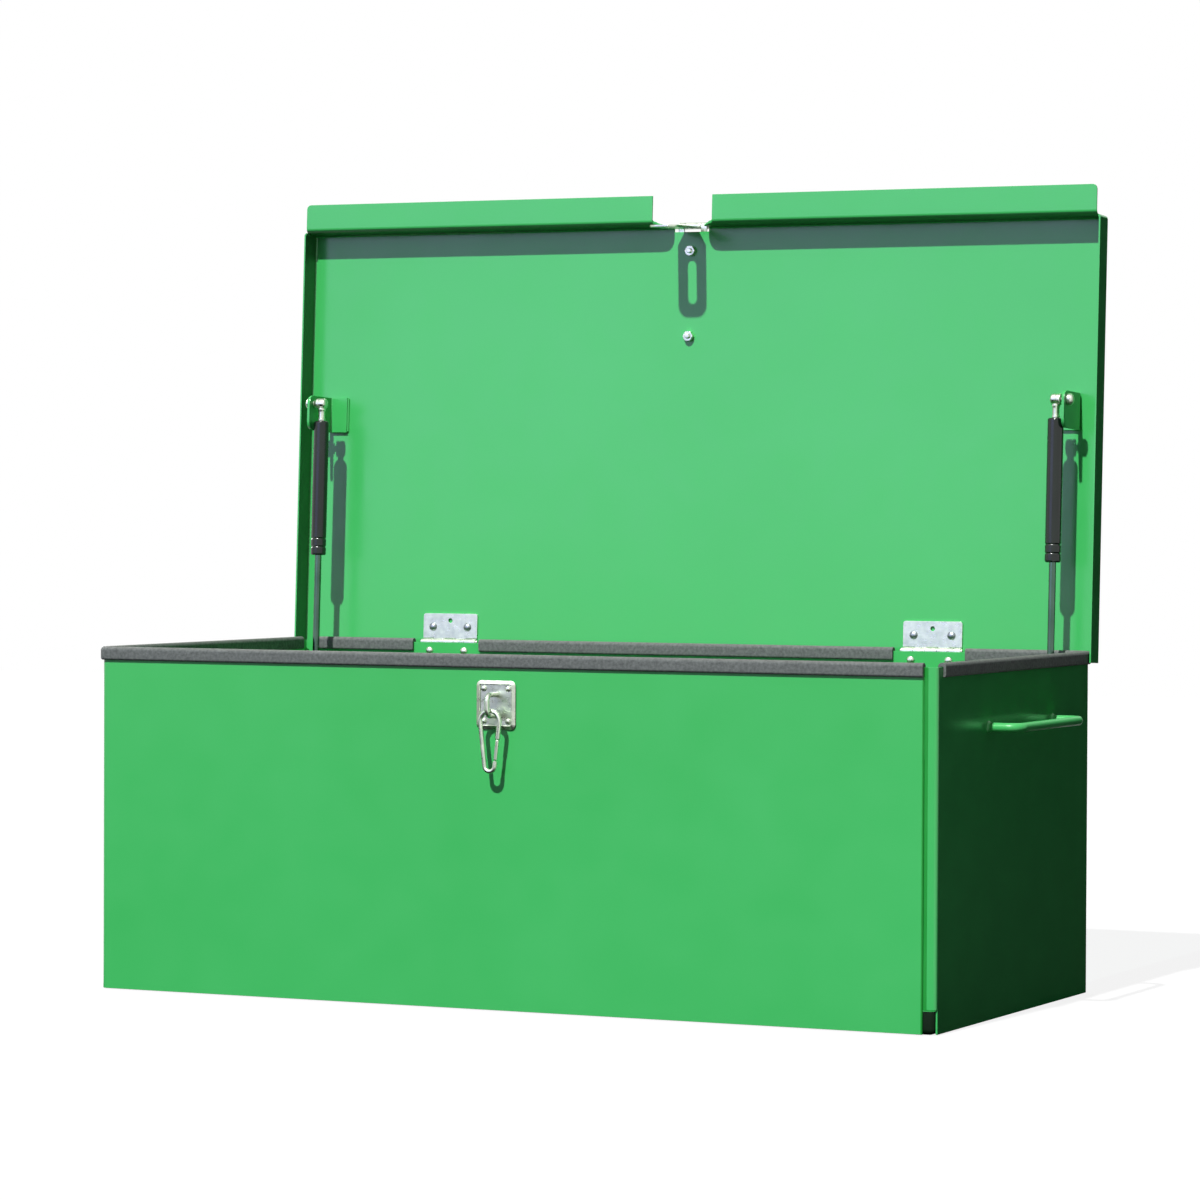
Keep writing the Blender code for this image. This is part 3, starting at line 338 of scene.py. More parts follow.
def select_only(piece, kind, wanted):
    """Edit mode on one piece, with just the points, edges or faces that are wanted selected."""
    pick_up(piece)
    bpy.ops.object.mode_set(mode="EDIT")
    bpy.ops.mesh.select_mode(type=kind)
    bpy.ops.mesh.select_all(action="DESELECT")
    leave_edit_mode()
    parts = {"VERT": piece.data.vertices, "EDGE": piece.data.edges, "FACE": piece.data.polygons}[kind]
    for part in parts:
        part.select = wanted(part)
    bpy.ops.object.mode_set(mode="EDIT")


def ease_sheared_edge(sheet, side):
    """Rounds the outer edge of the sheet's sheared end, which stands upright at one place in plan."""
    points = sheet.data.vertices
    place = Vector((side * LAP_END, -side * HALF_DEPTH))

    def outer_edge(edge):
        gaps = [points[number].co.xy - place for number in edge.vertices]
        return all(abs(gap.x) < NEAR and abs(gap.y) < NEAR for gap in gaps)

    select_only(sheet, "EDGE", outer_edge)
    bpy.ops.mesh.bevel(offset=0.0017, segments=4, affect="EDGES")
    leave_edit_mode()


def close_seam(sheet, side):
    """Draws the flange's upper end under the other sheet, and divides its outer face where the painted seam
    shade ends.
    """

    def upper_end(point):
        return abs(point.co.x - side * FLANGE_END) < NEAR and point.co.y * side < -0.23

    def outer_face(face):
        outwards = face.normal.y * side < -0.9 and face.center.x * side > 0
        return outwards and abs(face.center.y + side * FLANGE_FACE) < 2 * NEAR

    select_only(sheet, "VERT", upper_end)
    bpy.ops.transform.translate(value=(-side * 0.0022, 0, 0))
    select_only(sheet, "FACE", outer_face)
    bpy.ops.mesh.bisect(plane_co=(side * SEAM_SHADE_EDGE, 0, 0), plane_no=(1, 0, 0))
    leave_edit_mode()

# %% Walls, tray, lid and brackets
sheared_side = {"front_left_sheet": 1, "back_right_sheet": -1}
sheets = [("front_left_sheet", "box"), ("back_right_sheet", "box"), ("floor_pan", "box"), ("lid", "lid")]
for label, body in (("lid", "lid"), ("wall", "box")):
    sheets += [(f"strut_{side}_{label}_bracket", body) for side, sign in SIDES]
for node, body in sheets:
    sheet = welded_copy(node)
    if node in sheared_side:
        ease_sheared_edge(sheet, sheared_side[node])
        close_seam(sheet, -sheared_side[node])
    round_edges(sheet, 0.0007 if "bracket" in node else 0.0004)
    painted(sheet, body, node)

# %% [markdown]
# The inner faces of the lid's flanges get a darker green. It is painted shade, for the shade that the fold
# throws there. The lapped seams get a deeper green, painted shade in the groove. The tray's upturned sides,
# which show only in the notches at the foot, get a near black, painted shade inside the notch. These places
# could be pieces of their own, but it is simpler to find their faces by place and direction and give them
# a second finish.

# %% Painted shade in folds, seams and notches
def paint_again(sheet, finish, out_of_reach, to_frame):
    """Gives a second finish to the faces that the test picks out, in a frame that suits the test."""
    sheet.data.materials.append(finishes[finish])
    count = 0
    for face in sheet.data.polygons:
        if out_of_reach(to_frame @ face.center, to_frame.to_3x3() @ face.normal):
            face.material_index = 1
            count += 1
    print(sheet.name, "has", count, "faces of", finish)


def in_lid_fold(middle, facing):
    """Inner faces of the lid's flanges, in the lid's frame, which get painted shade."""
    in_front = middle.y < -0.45 and facing.y > 0.5
    at_side = abs(middle.x) > 0.48 and facing.x * math.copysign(1, middle.x) < -0.5
    return middle.z < 0.003 and (in_front or at_side)


def in_seam(middle, facing):
    """The sheared end at a lapped corner, and the strip of flange beside it, which get painted shade."""
    if middle.x * middle.y > 0:
        return False
    along = abs(middle.x)
    depth = abs(middle.y)
    near_end = LAP_END - 0.0025 < along < LAP_END + 0.0001
    on_end = near_end and depth > FLANGE_FACE - NEAR and abs(facing.x) > 0.15
    on_strip = 0.45 < along < SEAM_SHADE_EDGE + 0.0001 and abs(facing.y) > 0.9
    return on_end or (on_strip and abs(depth - FLANGE_FACE) < 2 * NEAR)


def on_tray_side(middle, facing):
    """Outer faces of the tray's upturned sides, which get painted shade."""
    outwards = facing.x * middle.x > 0 or facing.y * middle.y > 0
    return abs(facing.z) < 0.8 and outwards


# The lid's fold faces get the darker green of painted shade.
paint_again(bpy.data.objects["lid_dressed"], "fold_painted_shade_green", in_lid_fold, LID.inverted())
# The tray's sides, seen only in the notches, get near black painted shade.
paint_again(bpy.data.objects["floor_pan_dressed"], "notch_painted_shade_dark", on_tray_side, Matrix.Identity(4))
# The lapped seams get the deeper green of painted shade.
for node in sheared_side:
    paint_again(bpy.data.objects[f"{node}_dressed"], "seam_painted_shade_green", in_seam, Matrix.Identity(4))

# %% [markdown]
# ## Rubber channel
#
# A rubber channel is pressed over the rim. Its section is the same all along: two legs with a rounded
# top, and lower edges that curl in towards the sheet. It could be a bevelled curve, but here the
# section is drawn once, extruded along each straight and spun round each corner of the box.

# %% Draw a line, close it, sweep it
def extrude(step):
    """Extrudes what is selected by one step."""
    bpy.ops.mesh.extrude_region_move(TRANSFORM_OT_translate={"value": step})


def draw_line(name, points):
    """One point, extruded from place to place. Leaves the piece in edit mode."""
    put_all_down()
    bpy.ops.mesh.primitive_plane_add(size=0.001)
    piece = bpy.context.object
    piece.name = name
    bpy.ops.object.mode_set(mode="EDIT")
    bpy.ops.mesh.select_mode(type="VERT")
    bpy.ops.mesh.select_all(action="SELECT")
    bpy.ops.mesh.merge(type="CENTER")
    here = Vector((0, 0, 0))
    for number, point in enumerate(points):
        there = Vector(point)
        if number == 0:
            bpy.ops.transform.translate(value=there - here)
        else:
            extrude(there - here)
        here = there
    bpy.ops.mesh.select_all(action="SELECT")
    return piece


def draw_loop(name, points):
    """A closed line of points, still in edit mode."""
    piece = draw_line(name, list(points) + [points[0]])
    bpy.ops.mesh.remove_doubles(threshold=SAME_PLACE)
    bpy.ops.mesh.select_all(action="SELECT")
    return piece


def face_outwards():
    """Turns all faces of a closed shape outwards and leaves edit mode."""
    bpy.ops.mesh.select_all(action="SELECT")
    bpy.ops.mesh.normals_make_consistent(inside=False)
    leave_edit_mode()


def sweep(here, heading, moves):
    """Carries the selected section along runs and bends, then closes both ends."""
    for move in moves:
        if move[0] == "run":
            extrude(heading * move[1])
            here = here + heading * move[1]
        else:
            angle = math.radians(move[1])
            axis = Vector(move[3])
            centre = here + axis.cross(heading).normalized() * math.copysign(move[2], angle)
            steps = max(4, round(abs(move[1]) / 9))
            bpy.ops.mesh.spin(steps=steps, angle=-angle, center=centre, axis=axis)
            swing = Matrix.Rotation(angle, 3, axis)
            here = centre + swing @ (here - centre)
            heading = swing @ heading
    bpy.ops.mesh.select_all(action="SELECT")
    bpy.ops.mesh.remove_doubles(threshold=SAME_PLACE)
    bpy.ops.mesh.fill_holes(sides=0)
    face_outwards()


def arc(centre, radius, start, end, steps):
    """Points on an arc, in degrees."""
    angles = [math.radians(start + (end - start) * step / steps) for step in range(steps + 1)]
    return [(centre[0] + radius * math.cos(a), centre[1] + radius * math.sin(a)) for a in angles]

# %% Seals
half_seal = 0.0046
half_slot = 0.0013
seal_top = 0.0045
seal_foot = -0.0105
top_round = 0.0043
foot_round = 0.0026
outer_side = arc((half_seal - foot_round, seal_foot + foot_round), foot_round, -90, 0, 5)
outer_side += arc((half_seal - top_round, seal_top - top_round), top_round, 0, 90, 8)
seal_section = outer_side + [(-across, height) for across, height in reversed(outer_side)]
seal_section += [(-half_slot, seal_foot), (-half_slot, AIR), (half_slot, AIR), (half_slot, seal_foot)]
upright = (0, 0, 1)
round_corner = ("bend", -90, 0.007, upright)
seal_runs = {
    "seal_front_left": ((0.4852, -0.235), -1, [("run", 0.9772), round_corner, ("run", 0.448)]),
    "seal_back_left": ((-0.4852, 0.235), 1, [("run", 0.1327)]),
    "seal_back_middle": ((-0.2645, 0.235), 1, [("run", 0.529)]),
    "seal_back_right": ((0.3525, 0.235), 1, [("run", 0.1395), round_corner, ("run", 0.448)]),
}
for node, ((x, y), way, moves) in seal_runs.items():
    outline = [(x, y + across, RIM + height) for across, height in seal_section]
    seal = draw_loop(f"{node}_dressed", outline)
    sweep(Vector((x, y, RIM)), Vector((way, 0, 0)), moves)
    round_edges(seal, 0.0004, 60.0)
    hand_over(seal, "box", "rubber", "rubber", node, angle=50.0)

# %% [markdown]
# ## Hinges
#
# A butt hinge leaf is a strip whose edge is rolled round the pin, with slots for the other leaf's
# knuckles. The strip and its roll are drawn from the side and extruded to the hinge's width. Slots and
# holes are cut out afterwards, as in the press, and the sheared edges are broken.

# %% Cut, join and drill
def combine(piece, other, operation, merge_flats=True):
    """Cuts, joins or trims a piece with another solid, which is used up."""
    pick_up(piece)
    step = piece.modifiers.new("combine", "BOOLEAN")
    step.operation = operation
    step.solver = "EXACT"
    step.object = other
    bpy.ops.object.modifier_apply(modifier=step.name)
    bpy.data.objects.remove(other, do_unlink=True)
    pick_up(piece)
    bpy.ops.object.mode_set(mode="EDIT")
    bpy.ops.mesh.select_all(action="SELECT")
    bpy.ops.mesh.remove_doubles(threshold=SAME_PLACE)
    if merge_flats:
        bpy.ops.mesh.dissolve_limited(angle_limit=math.radians(1.0))
    leave_edit_mode()


def block(low, high):
    """A box between two corners, to cut with."""
    put_all_down()
    low = Vector(low)
    high = Vector(high)
    bpy.ops.mesh.primitive_cube_add(size=1.0, location=(low + high) / 2)
    cutter = bpy.context.object
    cutter.scale = high - low
    keep_place()
    return cutter


def drill(piece, place, radius, tilt=(math.pi / 2, 0, 0), merge_flats=True):
    """A round hole through a piece, from front to back unless it is tilted another way."""
    put_all_down()
    bpy.ops.mesh.primitive_cylinder_add(
        vertices=32, radius=radius, depth=0.02, location=place, rotation=tilt
    )
    combine(piece, bpy.context.object, "DIFFERENCE", merge_flats)


def extruded(name, points, depth):
    """A drawn outline, filled and given a depth."""
    piece = draw_loop(name, points)
    bpy.ops.mesh.edge_face_add()
    extrude(depth)
    face_outwards()
    return piece


def set_at(piece, matrix):
    """Moves a piece to its place and leaves its object at the origin."""
    pick_up(piece)
    piece.matrix_world = matrix
    keep_place()


def plated_copy(pattern, node, body, matrix, finish="zinc_plate"):
    """A copy of a pattern, with its own mesh, set in its place for a node."""
    copy = pattern.copy()
    copy.data = pattern.data.copy()
    copy.name = f"{node}_dressed"
    bpy.context.scene.collection.objects.link(copy)
    set_at(copy, matrix)
    hand_over(copy, body, "zinc_plate", finish, node)


def throw_away(*patterns):
    """Removes patterns that only served to be copied."""
    for pattern in patterns:
        bpy.data.objects.remove(pattern, do_unlink=True)

# %% Rolled leaf
KNUCKLE = 0.004
PIN_HOLE = 0.0023


def rolled_leaf(name, thickness, reach, width):
    """A strip that hangs down beside the pin line, with its upper edge rolled round the pin."""
    meet = 180 + math.degrees(math.acos((KNUCKLE - thickness) / PIN_HOLE))
    side = [(-KNUCKLE, -reach)]
    side += arc((0, 0), KNUCKLE, 180, -100, 36)
    side += arc((0, 0), PIN_HOLE, -100, meet, 36)
    side += [(-KNUCKLE + thickness, -reach)]
    return extruded(name, [(-width / 2, y, z) for y, z in side], (width, 0, 0))


def round_far_corners(leaf, reach, radius):
    """Rounds the two corners of a leaf that are furthest from its pin."""
    points = leaf.data.vertices

    def far_corner(edge):
        first, second = [points[number].co for number in edge.vertices]
        at_end = abs(first.z + reach) < SAME_PLACE and abs(second.z + reach) < SAME_PLACE
        return at_end and abs(first.x - second.x) < SAME_PLACE

    select_only(leaf, "EDGE", far_corner)
    bpy.ops.mesh.bevel(offset=radius, segments=5, affect="EDGES")
    leave_edit_mode()

# %% Hinge leaves
HINGE_WIDTH = 0.072
LEAF = 0.002


def hinge_leaf(name, reach, others, holes):
    """A hinge leaf with slots for the other leaf's knuckles."""
    leaf = rolled_leaf(name, LEAF, reach, HINGE_WIDTH)
    round_far_corners(leaf, reach, 0.003)
    pitch = HINGE_WIDTH / 5
    for number in others:
        start = -HINGE_WIDTH / 2 + number * pitch
        low = start - (0.001 if number == 0 else AIR / 2)
        high = start + pitch + (0.001 if number == 4 else AIR / 2)
        combine(leaf, block((low, -0.005, -0.0046), (high, 0.005, 0.005)), "DIFFERENCE")
    for x, z in holes:
        drill(leaf, (x, -KNUCKLE + LEAF / 2, z), 0.0027)
    round_edges(leaf, 0.0003, 35.0)
    return leaf


box_leaf = hinge_leaf("box_leaf_pattern", 0.030, (1, 3), [(-0.023, -0.0105), (0.023, -0.0105)])
lid_holes = [(-0.023, -0.018), (0.023, -0.018), (0, -0.0255)]
lid_leaf = hinge_leaf("lid_leaf_pattern", 0.034, (0, 2, 4), lid_holes)
for side, sign in SIDES:
    plated_copy(box_leaf, f"hinge_{side}_box_leaf", "box", shift(sign * HINGE_X, *HINGE_AXIS.yz))
    in_lid = LID @ shift(sign * HINGE_X, 0, 0) @ turn(-90, "X")
    plated_copy(lid_leaf, f"hinge_{side}_lid_leaf", "lid", in_lid)
throw_away(box_leaf, lid_leaf)

# %% [markdown]
# ## Hasp and staple
#
# The hasp is a long leaf on the outside of the lid with a slotted strap on its pin. Both are rolled
# leaves too. The strap's waist and rounded end are trimmed with a plate of that outline.

# %% Hasp leaf and strap
HASP_LEAF = 0.0025
HASP_WIDTH = 0.036
hasp_leaf = rolled_leaf("hasp_leaf_dressed", HASP_LEAF, 0.145, HASP_WIDTH)
round_far_corners(hasp_leaf, 0.145, 0.006)
combine(hasp_leaf, block((-0.01055, -0.006, -0.010), (0.01055, 0.006, 0.006)), "DIFFERENCE")
for z in (-0.030, -0.130):
    drill(hasp_leaf, (0, -KNUCKLE, z), 0.0033)
round_edges(hasp_leaf, 0.0004, 35.0)
set_at(hasp_leaf, LID @ shift(*HASP_AXIS) @ turn(90, "X"))
plated(hasp_leaf, "lid", "hasp_leaf")

strap = rolled_leaf("hasp_strap_dressed", HASP_LEAF, 0.094, HASP_WIDTH)
right_edge = [(0.00995, 0.006), (0.00995, -0.012), (0.018, -0.024)]
right_edge += arc((0.006, -0.082), 0.012, 0, -90, 8)
strap_edge = right_edge + [(-x, z) for x, z in reversed(right_edge)]
trim = extruded("strap_trim", [(x, -0.01, z) for x, z in strap_edge], (0, 0.02, 0))
combine(strap, trim, "INTERSECT")
slot_edge = arc((0, -0.0435), 0.0055, 0, 180, 12) + arc((0, -0.0765), 0.0055, 180, 360, 12)
slot = extruded("strap_slot", [(x, -0.01, z) for x, z in slot_edge], (0, 0.02, 0))
combine(strap, slot, "DIFFERENCE")
round_edges(strap, 0.0004, 35.0)
set_at(strap, LID @ shift(*HASP_AXIS) @ turn(4, "X") @ turn(180, "Z"))
plated(strap, "hasp_strap", "hasp_strap")

# %% [markdown]
# The staple's plate has round corners and is pressed, so its border stands a little proud. A second plate
# could make that border, but an inset of the front face, pushed in, keeps it one piece.

# %% Staple plate
outline = []
for x, y, start in ((1, -1, -90), (1, 1, 0), (-1, 1, 90), (-1, -1, 180)):
    outline += arc((x * 0.0175, y * 0.0205), 0.003, start, start + 90, 5)
staple_plate = extruded("staple_plate_dressed", [(x, y, 0) for x, y in outline], (0, 0, 0.002))
round_edges(staple_plate, 0.0003, 35.0)
select_only(staple_plate, "FACE", lambda face: face.normal.z > 0.9)
bpy.ops.mesh.inset(thickness=0.0017, depth=0.0)
bpy.ops.mesh.inset(thickness=0.0004, depth=-0.0006)
leave_edit_mode()
set_at(staple_plate, shift(HASP_X, -HALF_DEPTH - AIR, STAPLE_Z) @ FACING_FRONT)
plated(staple_plate, "box", "staple_plate")

# %% [markdown]
# ## Turned pieces
#
# Rivets, bolts, pins, studs and the struts are round about one line. Each is made as on a lathe:
# its half outline is drawn from the top down, and the outline is spun once round.

# %% Lathe
def lathe(name, outline, rounds=40):
    """Spins an outline of radius and height once round the upright axis."""
    piece = draw_line(name, [(radius, 0, height) for radius, height in outline])
    bpy.ops.mesh.spin(steps=rounds, angle=2 * math.pi, center=(0, 0, 0), axis=(0, 0, 1))
    bpy.ops.mesh.select_all(action="SELECT")
    bpy.ops.mesh.remove_doubles(threshold=SAME_PLACE)
    face_outwards()
    return piece


def dome(radius, height, base, steps=8):
    """Outline points of a domed head, from its crown to its rim."""
    angles = [math.radians(90 - 90 * step / steps) for step in range(1, steps + 1)]
    return [(0.0, base + height)] + [(radius * math.cos(a), base + height * math.sin(a)) for a in angles]

# %% [markdown]
# A rivet has a domed head, a shank and a tail that was spread on the far side. A half ball would do from
# afar, but a turned outline gives all three. Two sizes are turned, and each is copied.

# %% Rivets
def rivet_outline(scale, grip, foot=0.0):
    """A domed head, a shank, and a tail that was upset against the far side."""
    head = 0.0048 * scale
    shank = 0.0024 * scale
    tail = 0.0038 * scale
    rise = 0.0022 * scale
    outline = dome(head, 0.0028 * scale, 0.0)[:-1]
    outline += [(head, 0.0003 * scale), (head, -foot), (shank, -foot), (shank, -grip)]
    outline += [(tail, -grip), (tail, -grip - 0.0009 * scale), (tail * 0.8, -grip - 0.0018 * scale)]
    return outline + [(tail * 0.4, -grip - rise), (0.0, -grip - rise)]


hinge_rivet = lathe("hinge_rivet_pattern", rivet_outline(1.0, 0.0049))
small_rivet = lathe("staple_rivet_pattern", rivet_outline(0.62, 0.0049, 0.0008))
RIVET_STEP = 0.023
for side, sign in SIDES:
    for number, step in ((1, -1), (2, 1)):
        x = sign * HINGE_X + step * RIVET_STEP
        in_wall = shift(x, 0.2337, 0.3685) @ FACING_FRONT
        plated_copy(hinge_rivet, f"hinge_{side}_box_rivet_{number}", "box", in_wall)
        in_lid = LID @ shift(x, -0.018, 0.0017) @ turn(180, "X")
        # The lid's rivets get the darker zinc of painted shade.
        plated_copy(hinge_rivet, f"hinge_{side}_lid_rivet_{number}", "lid", in_lid, "lid_rivet_painted_shade_zinc")
staple_corners = [(x, z) for x in (-0.0195, 0.0095) for z in (0.3113, 0.3463)]
for number, (x, z) in enumerate(staple_corners, 1):
    plated_copy(small_rivet, f"staple_rivet_{number}", "box", shift(x, -0.2386, z) @ FACING_FRONT)
throw_away(hinge_rivet, small_rivet)

# %% [markdown]
# Each hinge turns on a pin with a low head at both ends, and the hasp on a plain one. They could be rods,
# but their ends are seen from the side, so they are turned too.

# %% Pins
def pin_outline(half, radius, head, head_length):
    """A pin with the same low head at both ends."""
    top = dome(head, head_length * 0.5, half + head_length * 0.5, 5)
    top += [(head, half + AIR), (radius, half + AIR)]
    return top + [(across, -along) for across, along in reversed(top)]


hinge_pin = lathe("hinge_pin_pattern", pin_outline(0.036, 0.002, 0.0028, 0.0025))
for side, sign in SIDES:
    in_knuckles = shift(sign * HINGE_X, *HINGE_AXIS.yz) @ turn(90, "Y")
    plated_copy(hinge_pin, f"hinge_{side}_pin", "box", in_knuckles)
throw_away(hinge_pin)
hasp_pin_end = [(0, 0.018), (0.0016, 0.018), (0.002, 0.0176)]
other_end = [(across, -along) for across, along in reversed(hasp_pin_end)]
hasp_pin = lathe("hasp_pin_dressed", hasp_pin_end + other_end)
set_at(hasp_pin, LID @ shift(*HASP_AXIS) @ turn(90, "Y"))
plated(hasp_pin, "lid", "hasp_pin")

# %% [markdown]
# The hasp is held by two domed bolts, with hexagon nuts inside the lid. A nut starts as a prism of six
# sides. A turned drum trims its ends and corners, which gives the curved chamfers, and a drill opens its
# bore. The sectors that the drum leaves are not merged, so that the mesh is the same in each run.

# %% Bolts and nuts
bolt_outline = dome(0.007, 0.0035, 0.0, 10)[:-1]
bolt_outline += [(0.007, 0.0003), (0.0068, 0.0), (0.003, 0.0), (0.003, -0.0050)]
for number in range(8):
    height = -0.0053 - 0.001 * number
    bolt_outline += [(0.003, height), (0.0026, height - 0.0005)]
bolt_outline += [(0.0029, -0.0132), (0.0024, -0.0134), (0, -0.0134)]
bolt = lathe("bolt_pattern", bolt_outline)

put_all_down()
bpy.ops.mesh.primitive_cylinder_add(
    vertices=6, radius=0.0064, depth=0.007, location=(0, 0, -0.0025), rotation=(0, 0, math.pi / 6)
)
nut = bpy.context.object
nut.name = "nut_pattern"
keep_place()
drum_outline = [(0, 0), (0.0056, 0), (0.0068, -0.0007), (0.0068, -0.0043), (0.0056, -0.005), (0, -0.005)]
combine(nut, lathe("nut_drum", drum_outline, 60), "INTERSECT", merge_flats=False)
drill(nut, (0, 0, -0.0025), 0.0031, (0, 0, 0), merge_flats=False)
round_edges(nut, 0.00015, 35.0)
for label, reach in (("front", 0.030), ("rear", 0.130)):
    y = HASP_AXIS.y + reach
    plated_copy(bolt, f"hasp_bolt_{label}", "lid", LID @ shift(HASP_X, y, 0.0094))
    plated_copy(nut, f"hasp_nut_{label}", "lid", LID @ shift(HASP_X, y, 0.0040))
throw_away(bolt, nut)

# %% [markdown]
# ## Bent bars
#
# Handles, the staple's eye and the clip are round bar with bends. A ring of points is extruded along
# each straight and spun round the middle of each bend, which is how a bar is bent on a former.

# %% Bar bender
def bent_bar(name, radius, start, heading, moves, sides=24):
    """A round bar from a list of runs and bends, closed at both ends."""
    put_all_down()
    heading = Vector(heading).normalized()
    tilt = heading.to_track_quat("Z", "Y").to_euler()
    bpy.ops.mesh.primitive_circle_add(vertices=sides, radius=radius, location=start, rotation=tilt)
    bar = bpy.context.object
    bar.name = name
    keep_place()
    bpy.ops.object.mode_set(mode="EDIT")
    bpy.ops.mesh.select_all(action="SELECT")
    sweep(Vector(start), heading, moves)
    return bar

# %% [markdown]
# A handle is one bar with two bends, welded to the end wall at both feet. A weld could be a torus, but a
# turned ring with a hollow flank looks more like run metal. The paint on both is a little rougher.

# %% Handles and their welds
HANDLE_Z = 0.311
HANDLE_FEET = (("front", -0.085), ("rear", 0.113))
weld_outline = [(0.0046, 0.0024), (0.0053, 0.0023), (0.0059, 0.0018), (0.0063, 0.0011), (0.0067, 0.0007)]
weld_outline += [(0.0069, 0.0003), (0.0068, -0.0001), (0.0046, -0.0001), (0.0046, 0.0024)]
for side, sign in SIDES:
    corner = ("bend", 90 * sign, 0.014, upright)
    moves = [("run", 0.0197), corner, ("run", 0.170), corner, ("run", 0.0197)]
    foot = (sign * (HALF_WIDTH + AIR), HANDLE_FEET[0][1], HANDLE_Z)
    handle = bent_bar(f"handle_{side}_dressed", 0.00498, foot, (sign, 0, 0), moves, 32)
    hand_over(handle, "box", "green_paint", "rough_green_paint", f"handle_{side}")
    for label, y in HANDLE_FEET:
        weld = lathe(f"handle_{side}_weld_{label}", weld_outline)
        set_at(weld, shift(sign * HALF_WIDTH, y, HANDLE_Z) @ turn(sign * 90, "Y"))
        hand_over(weld, "box", "green_paint", "rough_green_paint")

# %% [markdown]
# The staple's eye is a short wire, bent twice, that stands out from its plate for the strap and the clip.
# It could be half a ring, but the real one has straight legs, so it is bent as the handles are.

# %% Staple eye
EYE_Z = 0.31755
across = (1, 0, 0)
corner = ("bend", -90, 0.007, across)
moves = [("run", 0.01425), corner, ("run", 0.0085), corner, ("run", 0.01425)]
eye = bent_bar("staple_eye_dressed", 0.00273, (HASP_X, -0.2380, EYE_Z), (0, -1, 0), moves)
plated(eye, "box", "staple_eye")

# %% [markdown]
# The clip is one wire: a wide crown, a straight side, a narrow foot and a short nose. The straight
# sides lean in from the crown to the foot, so the two bends are a little more and a little less than
# half a turn. The gate is a turned pin on a small rivet.

# %% Clip
CLIP = Vector((HASP_X, -0.2525, EYE_Z))
CROWN = 0.0115
FOOT = 0.006
CLIP_DROP = 0.0475
clip_lean = math.asin((CROWN - FOOT) / CLIP_DROP)
clip_side = CLIP_DROP * math.cos(clip_lean)
crown_side = CLIP + Vector((CROWN * math.cos(clip_lean), 0, -0.00595 - CROWN * math.sin(clip_lean)))
down_gate = Vector((-math.sin(clip_lean), 0, -math.cos(clip_lean)))
gate_hinge = crown_side + down_gate * 0.0175
lean = math.degrees(clip_lean)
to_front = (0, -1, 0)
moves = [("run", 0.0172), ("bend", 180 + 2 * lean, CROWN, to_front), ("run", clip_side)]
moves += [("bend", 180 - 2 * lean, FOOT, to_front), ("run", clip_side - 0.041 - AIR)]
clip = bent_bar("clip_body_dressed", 0.0025, gate_hinge - down_gate * AIR, -down_gate, moves)
round_edges(clip, 0.0004, 60.0)
plated(clip, "clip", "clip_body")
gate_outline = [(0, -0.0003), (0.0014, -0.0005), (0.0019, -0.0011), (0.002, -0.0020), (0.002, -0.0214)]
gate_outline += [(0.0017, -0.0226), (0.0010, -0.0231), (0, -0.0232)]
gate = lathe("clip_gate_dressed", gate_outline, 28)
gate_turn = Vector((0, 0, -1)).rotation_difference(down_gate).to_matrix().to_4x4()
set_at(gate, Matrix.Translation(gate_hinge) @ gate_turn)
plated(gate, "clip_gate", "clip_gate")
print("clip hinge at", [round(v, 4) for v in gate_hinge])

# %% [markdown]
# ## Gas struts
#
# A strut is a painted barrel with two rolled grooves over the rod guide, a bright rod, and a plated
# ball socket on each end. A socket is a cup across the strut and a stem along it, joined into one.

# %% Barrels and rods
def strut_top(sign):
    """Frame of a strut's upper ball, which the lid carries."""
    return LID @ shift(sign * STRUT_X, -0.283, -0.0417)


barrel_outline = [(0.0, 0.046), (0.0046, 0.046), (0.0046, 0.1790), (0.0062, 0.1800), (0.0064, 0.1819)]
barrel_outline += [(0.0076, 0.182), (0.0084, 0.1816), (0.0088, 0.1808), (0.009, 0.180)]
groove = ((0.009, 0.0014), (0.0085, 0.0007), (0.0082, 0), (0.0085, -0.0007), (0.009, -0.0014))
for place in (0.172, 0.162):
    barrel_outline += [(radius, place + step) for radius, step in groove]
barrel_outline += [(0.009, 0.0236), (0.0088, 0.0224), (0.0083, 0.0216), (0.0076, 0.0211)]
barrel_outline += [(0.0066, 0.021), (0.0, 0.021)]
rod_outline = [(0, 0.3177), (0.0034, 0.3177), (0.0037, 0.3174), (0.004, 0.3150), (0.004, 0.169)]
rod_outline += [(0.003, 0.168), (0, 0.168)]
# The rods' chrome carries a painted reflection of the green lid in its tones.
turned = (("barrel", barrel_outline, 48, "black_paint"), ("rod", rod_outline, 40, "hard_chrome"))
for side, sign in SIDES:
    for label, outline, rounds, look in turned:
        node = f"strut_{side}_{label}"
        piece = lathe(f"{node}_dressed", outline, rounds)
        set_at(piece, strut_top(sign) @ turn(-90, "X"))
        hand_over(piece, node, look, look, node)

# %% [markdown]
# Cup and stem of a socket cross at a right angle, so no single outline gives both. Each is turned, and a
# boolean joins them. The upper cup is hollow for its ball, and the lower one is nearly flat.

# %% Ball sockets
def ball_side(radius, degrees):
    """Outline points on a ball, at angles from its top."""
    angles = [math.radians(angle) for angle in degrees]
    return [(radius * math.sin(a), radius * math.cos(a)) for a in angles]


